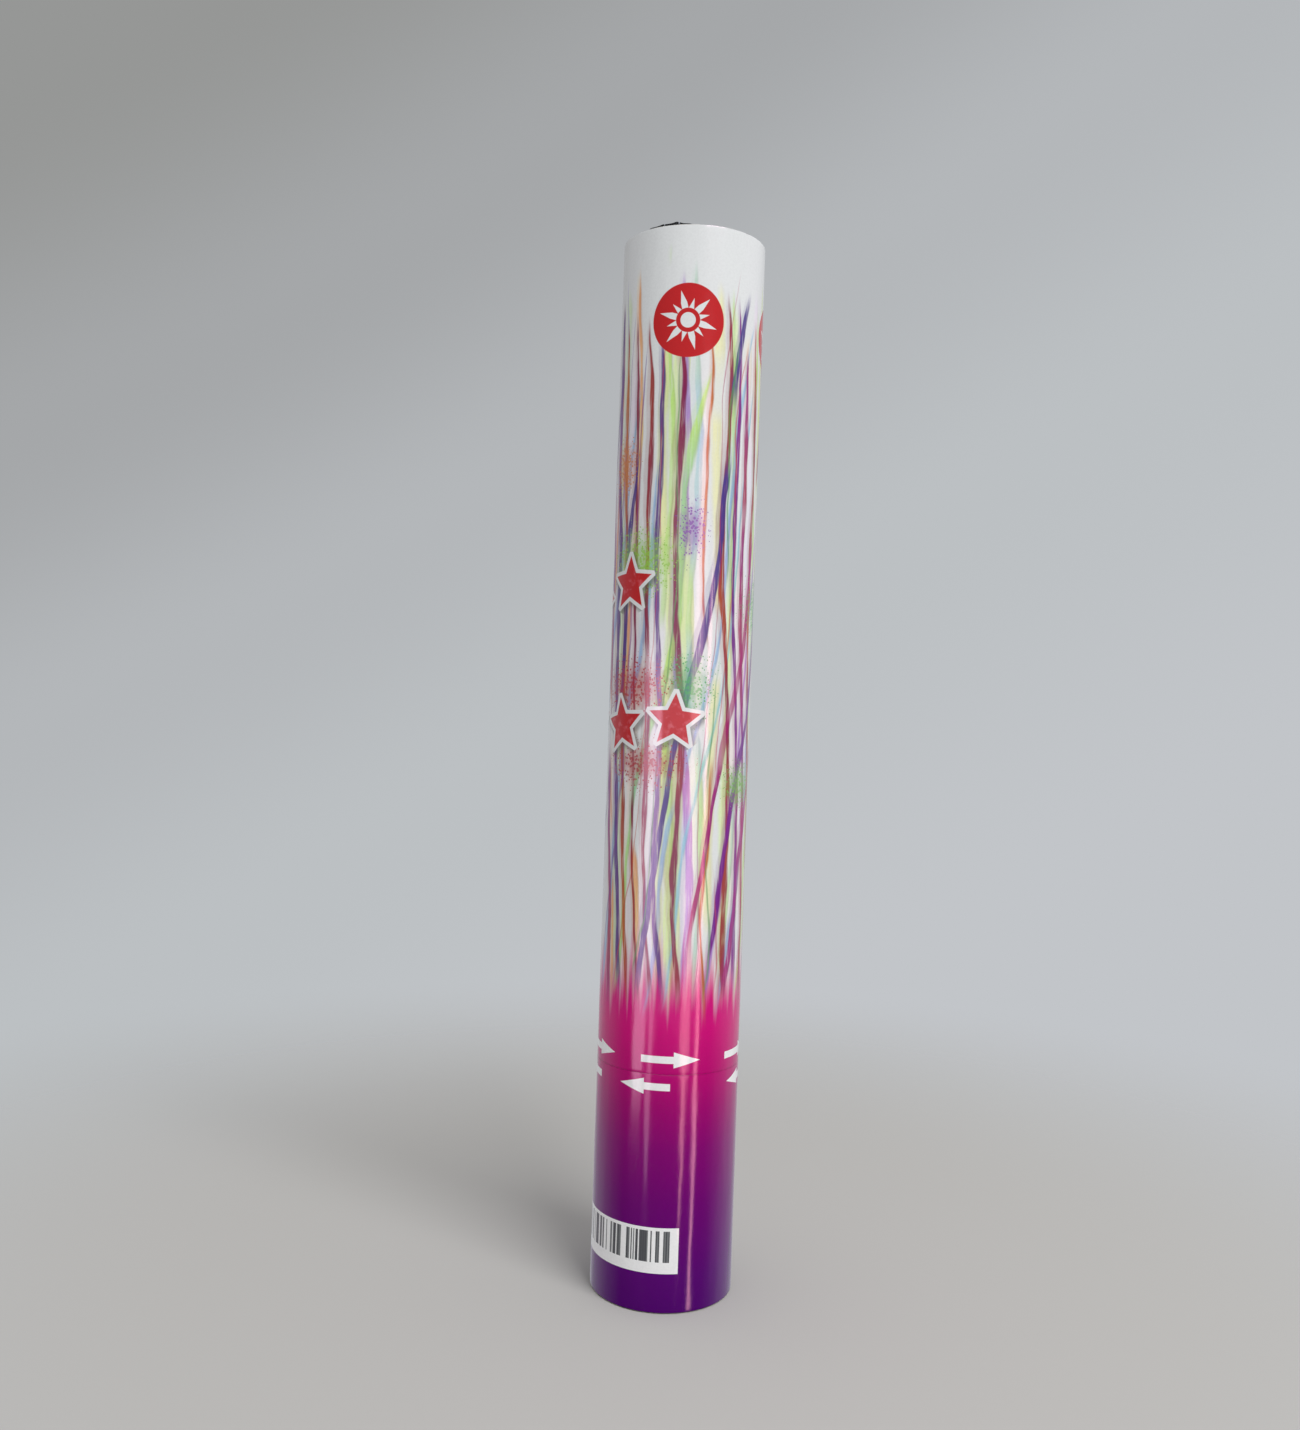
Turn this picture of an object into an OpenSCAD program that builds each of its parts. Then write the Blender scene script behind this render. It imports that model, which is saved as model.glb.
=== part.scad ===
// Hand-held twist-to-launch confetti popper: a short grip tube and a long barrel tube that turn on
// each other, a latched spring and plunger inside, and confetti and streamers under a film cup.
// Millimetres, +Z towards the muzzle, origin at the centre of the base, front of the print at -Y.

/* [Overall] */
// Height of the closed popper, from the table to the muzzle rim
overall_len = 300; // [240:1:380]
// Outside diameter over the printed wrap
body_d = 41.2; // [36:0.1:50]
// Wall of the wound paper tubes
tube_wall = 2; // [1.4:0.1:2.6]
// Thickness of the printed paper wrap
wrap_thk = 0.1; // [0.08:0.01:0.2]
// How far the wrap stops short of the open tube ends
wrap_inset = 0.2; // [0.1:0.1:1]
// Height of the turning joint above the table
joint_z = 65.5; // [54:0.5:78]
// Open line between the two tube ends at the turning joint
joint_gap = 0.3; // [0.2:0.05:0.6]

/* [Fits] */
// Radial room left for glue round a fixed piece
glue_gap = 0.05; // [0.02:0.01:0.1]
// Running clearance between pieces that turn or slide on each other
run_gap = 0.25; // [0.15:0.05:0.35]
// Gap along the axis between a moving piece and its seat
seat_gap = 0.3; // [0.2:0.05:0.5]

/* [End plug] */
// How deep the plug's face lies inside the bottom of the tube
plug_recess = 1; // [0.5:0.1:2]
// Thickness of the plug's plate
plug_plate = 2; // [1.5:0.1:3]
// Full height of the plug with its skirt
plug_h = 12; // [9:0.5:16]
// Wall of the plug's skirt
plug_skirt_wall = 1.2; // [0.8:0.1:1.6]
// Middle radius of the round groove in the plug's underside
plug_groove_r = 11; // [8:0.5:14]
// Width of that groove
plug_groove_w = 2; // [1:0.1:3]
// Depth of the groove and of the centre dimple
plug_groove_depth = 0.8; // [0.5:0.1:1.2]
// Radius of the centre dimple
plug_dimple_r = 2.5; // [1.5:0.1:4]
// Bevel on the edge that goes into the tube first
lead_bevel = 0.5; // [0.3:0.1:0.8]

/* [Latch post] */
// Thickness of the post's round foot
foot_thk = 5; // [3:0.5:7]
// Outer radius of the post and of the claws on it
post_r = 9; // [8:0.1:10]
// Wall of the post
post_wall = 2; // [1.4:0.1:2.4]
// Height of the post above its foot
post_h = 52; // [44:0.5:60]
// Thickness of the post's webs
gusset_thk = 1.6; // [1:0.1:2.4]
// Height of the post's webs
gusset_h = 12; // [8:0.5:18]
// Number of webs round the post
gussets = 6; // [3:1:8]
// Height of the low wall that centres the spring
locate_h = 2.4; // [1.5:0.1:4]
// Thickness of the walls that centre the spring at both ends
locate_wall = 1.2; // [0.8:0.1:1.5]

/* [Latch claws] */
// Number of claws, plunger lobes and drive keys
claws = 3; // [2:1:4]
// Height of the ring that joins the claws
claw_ring_h = 4; // [3:0.5:6]
// Length of the claws above their ring
claw_len = 18; // [15:0.5:22]
// Height of the low wall at the claws' roots
claw_root_h = 0.6; // [0.4:0.1:1]
// Height of the hook at the claw's tip
hook_h = 4; // [3:0.1:5]
// Share of the full circle's pitch that one claw takes
claw_share = 0.5; // [0.4:0.01:0.55]
// Bevel on the top of each hook
hook_bevel = 0.8; // [0.5:0.1:1]
// Gap between a hook and the plunger's stem
hook_gap = 0.4; // [0.3:0.05:0.5]
// Depth of the spigot that holds the claws in the post
spigot_len = 6; // [4:0.5:8]
// Wall of that spigot
spigot_wall = 1.2; // [0.8:0.1:1.6]

/* [Swivel neck] */
// Length of the band glued inside the grip tube
band_len = 24; // [18:0.5:30]
// Wall of the neck inside the turn collar
neck_wall = 1.1; // [0.8:0.1:1.5]
// Thickness of the lip that holds the collar down
lip_thk = 1.5; // [1:0.1:2]
// Number of slits that let the lip snap in
slits = 6; // [4:1:8]
// Width of a slit
slit_w = 2.5; // [1.5:0.1:3.5]
// Depth of a slit below the top of the neck
slit_len = 14; // [10:0.5:18]

/* [Turn collar] */
// Length of the collar glued inside the barrel tube
collar_len = 24.4; // [19:0.1:30]
// Wall of the collar
collar_wall = 0.9; // [0.7:0.05:1.1]

/* [Drive ring] */
// Gap between the top of the neck and the drive ring
ring_rise = 1; // [0.5:0.1:2]
// Height of the drive ring
ring_h = 9.7; // [8:0.1:12]
// Wall of the drive ring
ring_wall = 1.8; // [1.4:0.1:2.2]
// How far the keys stand in from the ring
key_depth = 1.4; // [1:0.1:1.8]
// Width of a key
key_w = 6; // [4:0.5:8]
// How far the keys stop short of the ring's ends
key_inset = 0.6; // [0.4:0.1:1]

/* [Plunger] */
// Thickness of the plunger's plate
plate_thk = 2; // [1.5:0.1:3]
// Wall of the plunger's skirt
skirt_wall = 1.3; // [1:0.1:1.6]
// Length of the boss that centres the spring
boss_len = 8; // [5:0.5:10]
// Radius of the plunger's stem
stem_r = 4; // [3.4:0.1:4.6]
// Number of webs under the plate
ribs = 6; // [3:1:8]
// Thickness of a web
rib_thk = 1.4; // [1:0.1:2]
// Height of a web
rib_h = 5; // [3:0.5:7]
// Gap all round the latch head inside the claws
head_gap = 0.5; // [0.3:0.05:0.7]
// Height of the head's straight side
head_side_h = 2; // [1:0.1:3]
// Height of the cone under the head
head_cone_h = 5; // [3:0.5:7]
// Radius of the head's blunt tip
head_tip_r = 2.5; // [1.5:0.1:3]
// Share of the full circle's pitch that one lobe takes
lobe_share = 0.4; // [0.3:0.01:0.44]

/* [Launch spring] */
// Wire diameter of the spring
wire_d = 1.6; // [1.2:0.1:2]
// Number of turns, with the closed end turns
turns = 18; // [14:1:22]
// Gap between the spring and the plunger's skirt
spring_gap = 0.7; // [0.5:0.1:1]
// Gap between the spring and the walls that centre it
centre_gap = 0.8; // [0.5:0.1:1]
// Open gap between the coils of a closed end turn
end_gap = 0.6; // [0.5:0.05:0.8]

/* [Payload] */
// Thickness of the board wad
wad_thk = 2; // [1:0.1:3]
// Thickness of the foam pad
pad_thk = 8; // [5:0.5:12]
// Width of a confetti slip
slip_w = 17; // [14:0.5:20]
// Length of a confetti slip
slip_len = 55; // [44:1:66]
// Gap between neighbouring stacks and rolls
stack_gap = 0.3; // [0.2:0.05:0.5]
// Room between the stacks or rolls and the bore
payload_gap = 0.3; // [0.2:0.05:0.6]
// Height of a streamer roll
roll_h = 10; // [8:0.5:12]
// Radius of the hole in a streamer roll
roll_hole_r = 4; // [3:0.5:6]
// Bevel on the edges of a roll
roll_bevel = 0.6; // [0.3:0.1:1]
// Free height left under the film cup
headroom = 12; // [8:1:20]

/* [Muzzle film] */
// Thickness of the film
film_thk = 0.25; // [0.2:0.05:0.4]
// Depth of the film cup below the rim
film_depth = 9; // [6:0.5:12]
// How far the film's edge lies below the rim where it is flat
film_edge_drop = 1.2; // [0.8:0.1:2]
// Height of the fold that stands up past that edge
film_fold_h = 3.5; // [2.5:0.1:4.5]
// Middle of the standing fold, in degrees from the front
film_fold_at = -16; // [-40:1:40]
// Half of the fold's width in degrees
film_fold_half = 24; // [16:1:40]
// Height of the waves in the film's floor
film_wave = 0.5; // [0.2:0.1:0.8]

/* [Hidden] */
$fn = 96;

// Overrun of cuts past the faces that they open, and bite of one solid into the next
over = 1;
bite = 0.4;

// Radii from the outside in
body_r = body_d / 2;
tube_r = body_r - wrap_thk - glue_gap;
bore_r = tube_r - tube_wall;
insert_r = bore_r - glue_gap;
plug_in_r = insert_r - plug_skirt_wall;
foot_r = plug_in_r - glue_gap;
collar_in_r = insert_r - collar_wall;
neck_r = collar_in_r - run_gap;
neck_in_r = neck_r - neck_wall;
lip_r = bore_r - run_gap;
ring_in_r = insert_r - ring_wall;
key_r = ring_in_r - key_depth;
piston_r = ring_in_r - run_gap;
notch_r = key_r - run_gap;
skirt_in_r = piston_r - skirt_wall;
spring_r = skirt_in_r - spring_gap - wire_d / 2;
locate_r = spring_r - wire_d / 2 - centre_gap;
locate_in_r = locate_r - locate_wall;
claw_in_r = post_r - post_wall;
spigot_r = claw_in_r - glue_gap;
spigot_in_r = spigot_r - spigot_wall;
head_r = claw_in_r - head_gap;
lobe_r = claw_in_r - run_gap;
hook_r = stem_r + hook_gap;
payload_r = bore_r - run_gap;
stack_r = payload_r - payload_gap;
film_r = bore_r - run_gap;

// Heights from the table up
plug_top = plug_recess + plug_plate;
foot_top = plug_top + foot_thk;
post_top = foot_top + post_h;
claw_ring_top = post_top + claw_ring_h;
claw_top = claw_ring_top + claw_len;
hook_z = claw_top - hook_h;
neck_z = joint_z - band_len;
barrel_z = joint_z + joint_gap;
collar_top = barrel_z + collar_len;
lip_z = collar_top + seat_gap;
neck_top = lip_z + lip_thk;
ring_z = neck_top + ring_rise;
ring_top = ring_z + ring_h;
plate_z = ring_top - plate_thk;
skirt_z = ring_z + seat_gap;
boss_z = plate_z - boss_len;
head_top = hook_z - seat_gap;
head_side_z = head_top - head_side_h;
head_tip_z = head_side_z - head_cone_h;
wad_z = ring_top + seat_gap;
pad_z = wad_z + wad_thk;
stack_z = pad_z + pad_thk;

// Payload: stacks fill whole tiers, then the rolls stand on them
rolls = 5;
colours = 6;
payload_end = overall_len - film_depth - headroom;
tier_h = slip_len + stack_gap;
rolls_h = rolls * (roll_h + stack_gap);
tiers = max(1, floor((payload_end - stack_z - rolls_h) / tier_h));
roll_z = stack_z + tiers * tier_h;
stack_half = sqrt(pow(stack_r, 2) - pow(slip_w / 2, 2));
mid_stacks = 4;
mid_stack_thk = (2 * stack_half - (mid_stacks - 1) * stack_gap) / mid_stacks;
side_stack_thk = stack_half - slip_w / 2 - stack_gap;

// Angles shared by claws, lobes, keys and notches
latch_pitch = 360 / claws;
claw_angle = latch_pitch * claw_share;
lobe_angle = latch_pitch * lobe_share;
key_angle = key_w / ring_in_r * 180 / PI;
notch_angle = (key_w + 2 * run_gap) / ring_in_r * 180 / PI;

// Spring: its own facets, and the heights of its middle line
spring_sides = 6;
spring_steps = 16;
spring_z = foot_top + seat_gap + wire_d / 2;
spring_rise = plate_z - seat_gap - wire_d / 2 - spring_z;
end_pitch = wire_d + end_gap;
mid_pitch = (spring_rise - 2 * end_pitch) / (turns - 2);

// Film: facets round the cup, and its rings from the floor's middle out and back in
film_steps = 60;
film_waves = 7;
film_z = overall_len - film_depth;
film_shares = [0.35, 0.7, 1];

// Plain colours for the CAD views
board = [0.80, 0.77, 0.70];
print_low = [0.42, 0.02, 0.42];
print_high = [0.66, 0.82, 0.66];
white_plastic = [0.93, 0.93, 0.91];
grey_plastic = [0.62, 0.64, 0.66];
orange_plastic = [0.92, 0.48, 0.12];
steel = [0.70, 0.71, 0.73];
foam = [0.95, 0.95, 0.97];
film_colour = [0.25, 0.26, 0.29];
confetti_colours = [[0.82, 0.12, 0.16], [0.95, 0.50, 0.12], [0.97, 0.85, 0.15],
    [0.30, 0.72, 0.28], [0.12, 0.42, 0.80], [0.93, 0.35, 0.62]];
roll_colours = [[0.93, 0.35, 0.62], [0.97, 0.85, 0.15], [0.12, 0.55, 0.80],
    [0.40, 0.75, 0.30], [0.86, 0.15, 0.18]];

// A plain tube between two heights
module ring(r_out, r_in, z_low, z_high) {
    difference() {
        translate([0, 0, z_low])
            cylinder(r = r_out, h = z_high - z_low);
        translate([0, 0, z_low - over])
            cylinder(r = r_in, h = z_high - z_low + 2 * over);
    }
}

// A block of the half section, for one turned piece
module block(r_in, r_out, z_low, z_high) {
    translate([r_in, z_low])
        square([r_out - r_in, z_high - z_low]);
}

// The same child at each of a number of even steps round the axis
module around(count, start = 0) {
    for (i = [0 : count - 1])
        rotate([0, 0, start + i * 360 / count])
            children();
}

// A part turn of a half section, centred on the X axis
module sector(angle) {
    rotate([0, 0, -angle / 2])
        rotate_extrude(angle = angle)
            children();
}

module grip_tube() {
    color(board) ring(tube_r, bore_r, 0, joint_z);
}

module grip_wrap() {
    color(print_low) ring(body_r, body_r - wrap_thk, wrap_inset, joint_z);
}

module end_plug() {
    color(white_plastic)
        rotate_extrude()
            difference() {
                polygon([
                    [0, plug_recess],
                    [insert_r, plug_recess],
                    [insert_r, plug_recess + plug_h - lead_bevel],
                    [insert_r - lead_bevel, plug_recess + plug_h],
                    [plug_in_r, plug_recess + plug_h],
                    [plug_in_r, plug_top],
                    [0, plug_top]
                ]);
                block(plug_groove_r - plug_groove_w / 2, plug_groove_r + plug_groove_w / 2,
                    plug_recess - over, plug_recess + plug_groove_depth);
                block(0, plug_dimple_r, plug_recess - over, plug_recess + plug_groove_depth);
            }
}

module latch_post() {
    color(grey_plastic) {
        rotate_extrude()
            union() {
                block(0, foot_r, plug_top, foot_top);
                block(claw_in_r, post_r, foot_top - bite, post_top);
                block(locate_in_r, locate_r, foot_top - bite, foot_top + locate_h);
            }
        around(gussets)
            rotate([90, 0, 0])
                linear_extrude(gusset_thk, center = true)
                    polygon([
                        [post_r - bite, foot_top - bite],
                        [locate_in_r + bite, foot_top - bite],
                        [locate_in_r + bite, foot_top + locate_h],
                        [post_r - bite, foot_top + gusset_h]
                    ]);
    }
}

// A turned cup with a hooked mouth, cut into claws by slots that stand in line with the lobes
module latch_claws() {
    color(orange_plastic)
        difference() {
            rotate_extrude()
                polygon([
                    [spigot_in_r, post_top - spigot_len],
                    [spigot_r, post_top - spigot_len],
                    [spigot_r, post_top],
                    [post_r, post_top],
                    [post_r, claw_top - hook_bevel],
                    [post_r - hook_bevel, claw_top],
                    [hook_r + hook_bevel, claw_top],
                    [hook_r, claw_top - hook_bevel],
                    [hook_r, hook_z],
                    [claw_in_r, hook_z],
                    [claw_in_r, claw_ring_top],
                    [spigot_in_r, claw_ring_top]
                ]);
            around(claws)
                sector(latch_pitch - claw_angle)
                    block(hook_r - over, post_r + over, claw_ring_top + claw_root_h, claw_top + over);
        }
}

module swivel_neck() {
    color(white_plastic)
        difference() {
            rotate_extrude()
                polygon([
                    [neck_in_r, neck_z],
                    [insert_r - lead_bevel, neck_z],
                    [insert_r, neck_z + lead_bevel],
                    [insert_r, joint_z],
                    [neck_r, joint_z],
                    [neck_r, lip_z],
                    [lip_r, lip_z],
                    [lip_r, lip_z + lip_thk / 2],
                    [neck_r, neck_top],
                    [neck_in_r, neck_top]
                ]);
            around(slits)
                translate([neck_in_r - over, -slit_w / 2, neck_top - slit_len])
                    cube([lip_r - neck_in_r + 2 * over, slit_w, slit_len + over]);
        }
}

module barrel_tube() {
    color(board) ring(tube_r, bore_r, barrel_z, overall_len);
}

module barrel_wrap() {
    color(print_high) ring(body_r, body_r - wrap_thk, barrel_z, overall_len - wrap_inset);
}

module turn_collar() {
    color(grey_plastic) ring(insert_r, collar_in_r, barrel_z, collar_top);
}

// The keys turn the plunger with the barrel and let it slide
module drive_ring() {
    color(white_plastic) {
        ring(insert_r, ring_in_r, ring_z, ring_top);
        around(claws)
            sector(key_angle)
                block(key_r, ring_in_r + bite, ring_z + key_inset, ring_top - key_inset);
    }
}

// Height of the spring's middle line after a number of turns
function spring_height(t) =
    t < 1 ? spring_z + t * end_pitch :
    t > turns - 1 ? spring_z + spring_rise - (turns - t) * end_pitch :
    spring_z + end_pitch + (t - 1) * mid_pitch;

// One ring of points round the wire
function wire_ring(t) = [
    for (k = [0 : spring_sides - 1])
        let (b = 360 * (k + 0.5) / spring_sides, r = spring_r + wire_d / 2 * cos(b))
            [r * cos(360 * t), r * sin(360 * t), spring_height(t) + wire_d / 2 * sin(b)]
];

module launch_spring() {
    last = turns * spring_steps;
    rings = [for (i = [0 : last]) wire_ring(i / spring_steps)];
    points = [for (r = rings) each r];
    n = spring_sides;
    sides = [
        for (i = [0 : last - 1], k = [0 : n - 1])
            let (a = i * n + k, b = i * n + (k + 1) % n)
                each [[a, b, b + n], [a, b + n, a + n]]
    ];
    caps = [
        for (k = [1 : n - 2])
            each [[0, k + 1, k], [last * n, last * n + k, last * n + k + 1]]
    ];
    echo(least_gap = min([
        for (i = [0 : last - spring_steps], p = rings[i], q = rings[i + spring_steps]) norm(q - p)
    ]));
    color(steel) polyhedron(points = points, faces = concat(sides, caps));
}

module plunger() {
    color(orange_plastic) {
        difference() {
            rotate_extrude()
                union() {
                    block(0, piston_r, plate_z, ring_top);
                    block(skirt_in_r, piston_r, skirt_z, plate_z + bite);
                    block(locate_in_r, locate_r, boss_z, plate_z + bite);
                    block(0, stem_r, head_top - bite, plate_z + bite);
                    polygon([
                        [0, head_tip_z],
                        [head_tip_r, head_tip_z],
                        [head_r, head_side_z],
                        [head_r, head_top],
                        [0, head_top]
                    ]);
                }
            around(claws)
                sector(notch_angle)
                    block(notch_r, piston_r + over, skirt_z - over, ring_top + over);
        }
        around(claws)
            sector(lobe_angle)
                block(stem_r - bite, lobe_r, hook_z, claw_top);
        around(ribs)
            translate([stem_r - bite, -rib_thk / 2, plate_z - rib_h])
                cube([locate_in_r - stem_r + 2 * bite, rib_thk, rib_h + bite]);
    }
}

module wad_disc() {
    color(board)
        translate([0, 0, wad_z])
            cylinder(r = payload_r, h = wad_thk);
}

module foam_pad() {
    color(foam)
        translate([0, 0, pad_z])
            cylinder(r = stack_r, h = pad_thk);
}

// One stack of slips by its place: four across the middle, then one at each side
module stack(place) {
    if (place < mid_stacks)
        translate([-slip_w / 2, -stack_half + place * (mid_stack_thk + stack_gap), 0])
            cube([slip_w, mid_stack_thk, slip_len]);
    else
        rotate([0, 0, (place - mid_stacks) * 180])
            translate([slip_w / 2 + stack_gap, -slip_w / 2, 0])
                cube([side_stack_thk, slip_w, slip_len]);
}

// The stacks of one colour, one in each tier, a few places round in each next tier
module confetti(index) {
    color(confetti_colours[index])
        for (tier = [0 : tiers - 1])
            translate([0, 0, stack_z + tier * tier_h])
                stack((index + 2 * tier) % colours);
}

module streamer(index) {
    z_low = roll_z + index * (roll_h + stack_gap);
    z_high = z_low + roll_h;
    color(roll_colours[index])
        rotate_extrude()
            polygon([
                [roll_hole_r, z_low],
                [stack_r - roll_bevel, z_low],
                [stack_r, z_low + roll_bevel],
                [stack_r, z_high - roll_bevel],
                [stack_r - roll_bevel, z_high],
                [roll_hole_r, z_high]
            ]);
}

// Height of the film's free edge: level but for one smooth fold near the front
function film_edge(a) =
    let (off = (a - film_fold_at) / film_fold_half)
        overall_len - film_edge_drop
        + (abs(off) < 1 ? film_fold_h * pow(cos(90 * off), 2) : 0);

// Height of the floor: soft waves that die out in the middle
function film_floor(s, a) = film_z + film_wave * s * s * (1 + sin(film_waves * a)) / 2;

// One ring of the cup, with angles from -180 to 180 degrees counted from the front
function film_ring(r, heights) = [
    for (i = [0 : film_steps - 1])
        let (a = 360 * i / film_steps - 180)
            [r * sin(a), -r * cos(a), heights[i]]
];

module muzzle_film() {
    angles = [for (i = [0 : film_steps - 1]) 360 * i / film_steps - 180];
    in_r = film_r - film_thk;
    outside = [
        for (s = film_shares)
            film_ring(film_r * s, [for (a = angles) film_floor(s, a) - film_thk])
    ];
    inside = [
        for (i = [len(film_shares) - 1 : -1 : 0])
            let (s = film_shares[i])
                film_ring(in_r * s, [for (a = angles) film_floor(s, a)])
    ];
    edges = [for (r = [film_r, in_r]) film_ring(r, [for (a = angles) film_edge(a)])];
    rings = concat(outside, edges, inside);
    n = film_steps;
    last = len(rings) * n;
    points = concat(
        [for (r = rings) each r],
        [[0, 0, film_z - film_thk], [0, 0, film_z]]
    );
    walls = [
        for (j = [0 : len(rings) - 2], i = [0 : n - 1])
            let (a = j * n + i, b = j * n + (i + 1) % n)
                each [[a, b + n, b], [a, a + n, b + n]]
    ];
    floors = [
        for (i = [0 : n - 1])
            let (m = (i + 1) % n, top = last - n)
                each [[last, i, m], [last + 1, top + m, top + i]]
    ];
    color(film_colour) polyhedron(points = points, faces = concat(walls, floors));
}

grip_tube();
grip_wrap();
end_plug();
latch_post();
latch_claws();
swivel_neck();
barrel_tube();
barrel_wrap();
turn_collar();
drive_ring();
launch_spring();
plunger();
wad_disc();
foam_pad();
confetti(0);  // confetti_red
confetti(1);  // confetti_orange
confetti(2);  // confetti_yellow
confetti(3);  // confetti_green
confetti(4);  // confetti_blue
confetti(5);  // confetti_pink
streamer(0);  // streamer_1
streamer(1);  // streamer_2
streamer(2);  // streamer_3
streamer(3);  // streamer_4
streamer(4);  // streamer_5
muzzle_film();
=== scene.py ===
"""Looks of a twist-to-launch confetti popper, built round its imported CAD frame.

Shapes and patterns are worked out in millimetres. Settings, lamps, the camera and the finished meshes
are in metres. The tube stands on Z = 0, +Z runs towards the muzzle and the front of the print faces
-Y. A bearing is an angle round the tube from the front, and it grows towards +X.
"""

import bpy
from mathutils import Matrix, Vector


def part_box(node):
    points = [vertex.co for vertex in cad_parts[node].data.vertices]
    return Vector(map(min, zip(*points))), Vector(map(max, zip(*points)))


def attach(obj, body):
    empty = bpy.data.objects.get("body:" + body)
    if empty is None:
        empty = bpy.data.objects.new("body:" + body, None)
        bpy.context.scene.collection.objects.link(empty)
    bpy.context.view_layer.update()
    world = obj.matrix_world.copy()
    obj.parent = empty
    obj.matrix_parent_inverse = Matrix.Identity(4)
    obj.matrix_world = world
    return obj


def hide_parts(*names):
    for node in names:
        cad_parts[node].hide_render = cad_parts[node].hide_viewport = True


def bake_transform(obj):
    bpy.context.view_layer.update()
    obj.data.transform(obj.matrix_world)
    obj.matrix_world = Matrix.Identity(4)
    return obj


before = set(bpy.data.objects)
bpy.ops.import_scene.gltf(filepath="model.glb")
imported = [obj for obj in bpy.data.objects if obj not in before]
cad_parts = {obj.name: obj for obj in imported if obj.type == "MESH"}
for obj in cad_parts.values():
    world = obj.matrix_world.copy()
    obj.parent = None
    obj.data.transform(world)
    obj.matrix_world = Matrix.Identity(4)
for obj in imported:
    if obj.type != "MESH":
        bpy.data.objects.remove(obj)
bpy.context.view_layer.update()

import math

import bmesh
import bpy
import numpy as np
from bpy.props import FloatProperty, FloatVectorProperty, PointerProperty
from bpy.types import Operator, Panel, PropertyGroup
from mathutils import Euler, Vector

bl_info = {
    "name": "Confetti popper",
    "version": (1, 0, 0),
    "blender": (4, 5, 0),
    "location": "3D View > Sidebar > Popper",
    "description": "Builds a twist-to-launch confetti popper round its CAD frame",
    "category": "Object",
}

METRE = 1000.0  # millimetres in a metre
TURN = 2 * math.pi


def srgb(red, green, blue, light=1.0):
    """Linear colour of a 0-255 screen colour, divided by the light that falls on it."""
    shares = np.array([red, green, blue]) / 255
    linear = np.where(shares <= 0.04045, shares / 12.92, ((shares + 0.055) / 1.055) ** 2.4)
    return tuple(float(v) for v in np.clip(linear / light, 0, 1))


def cad(node):
    """Lowest and highest corner of a CAD node in millimetres, as two arrays."""
    low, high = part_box(node)
    return np.array(low) * METRE, np.array(high) * METRE


# Sizes that the frame gives, and the wall of the board
BODY_R = float(cad("barrel_wrap")[1][0])
TUBE_R = float(cad("barrel_tube")[1][0])
BARREL_LOW, BARREL_HIGH = (float(corner[2]) for corner in cad("barrel_tube"))
GRIP_HIGH = float(cad("grip_tube")[1][2])
JOINT = (GRIP_HIGH + BARREL_LOW) / 2
WALL = 2.0
BORE_R = TUBE_R - WALL
ARC = math.radians(BODY_R)  # length round the print of one degree


# Settings


class PrintSettings(PropertyGroup):
    """The printed paper wrap."""

    paper: FloatVectorProperty(
        name="Paper", description="White of the coated paper", subtype="COLOR",
        default=srgb(238, 240, 240))
    ink_red: FloatVectorProperty(
        name="Red ink", description="Red of the badges and stars", subtype="COLOR",
        default=srgb(190, 40, 42, 0.85))
    ripple: FloatProperty(
        name="Ripple", description="Depth of the paper's soft waves over the board", unit="LENGTH",
        default=0.00005, min=0, max=0.0001)
    lap: FloatProperty(
        name="Lap", description="Width of the paper's glued overlap at the back", unit="LENGTH",
        default=0.007, min=0.003, max=0.012)
    paper_thickness: FloatProperty(
        name="Paper thickness", description="Thickness of the wrap", unit="LENGTH",
        default=0.00008, min=0.00005, max=0.00012)
    arrow_thickness: FloatProperty(
        name="Arrow shaft", description="Thickness of an arrow's shaft", unit="LENGTH",
        default=0.00198, min=0.001, max=0.004)
    badge_width: FloatProperty(
        name="Badge width", description="Diameter of a round badge", unit="LENGTH",
        default=0.0205, min=0.01, max=0.03)
    gloss: FloatProperty(
        name="Gloss", description="Roughness of the clear coat", default=0.1, min=0.05, max=0.6)


class PaperSettings(PropertyGroup):
    """Board tubes, slips and rolls."""

    board: FloatVectorProperty(
        name="Board", description="Colour of the wound board", subtype="COLOR",
        default=srgb(196, 184, 160))
    slip_thickness: FloatProperty(
        name="Slip pitch", description="Thickness that one modelled slip takes in its stack",
        unit="LENGTH", default=0.00028, min=0.0002, max=0.0006)
    turn_pitch: FloatProperty(
        name="Roll pitch", description="Radial step of one modelled turn of a streamer", unit="LENGTH",
        default=0.0004, min=0.0003, max=0.0008)
    lip: FloatProperty(
        name="Lip radius", description="Rounding of the board's cut ends", unit="LENGTH",
        default=0.00035, min=0.0001, max=0.0008)


class StageSettings(PropertyGroup):
    """Camera, floor and light."""

    eye_distance: FloatProperty(
        name="Eye distance", description="Camera's distance in front of the tube's axis",
        unit="LENGTH", default=0.3667)
    eye_height: FloatProperty(
        name="Eye height", description="Camera's height", unit="LENGTH", default=0.1645)
    eye_side: FloatProperty(
        name="Eye side", description="Camera's offset to the right", unit="LENGTH", default=-0.0085)
    lean: FloatProperty(
        name="Lean", description="Roll of the camera, which leans the tube in the picture",
        subtype="ANGLE", default=math.radians(1.925))
    focal_length: FloatProperty(
        name="Focal length", description="In millimetres, on a 36 mm sensor", default=31.69)
    ambient: FloatProperty(
        name="Ambient light", description="Strength of the even light", default=0.49, min=0)
    key_power: FloatProperty(
        name="Key power", description="Watts of the large soft light above at the right",
        default=27.5, min=0)


# Meshes


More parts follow.
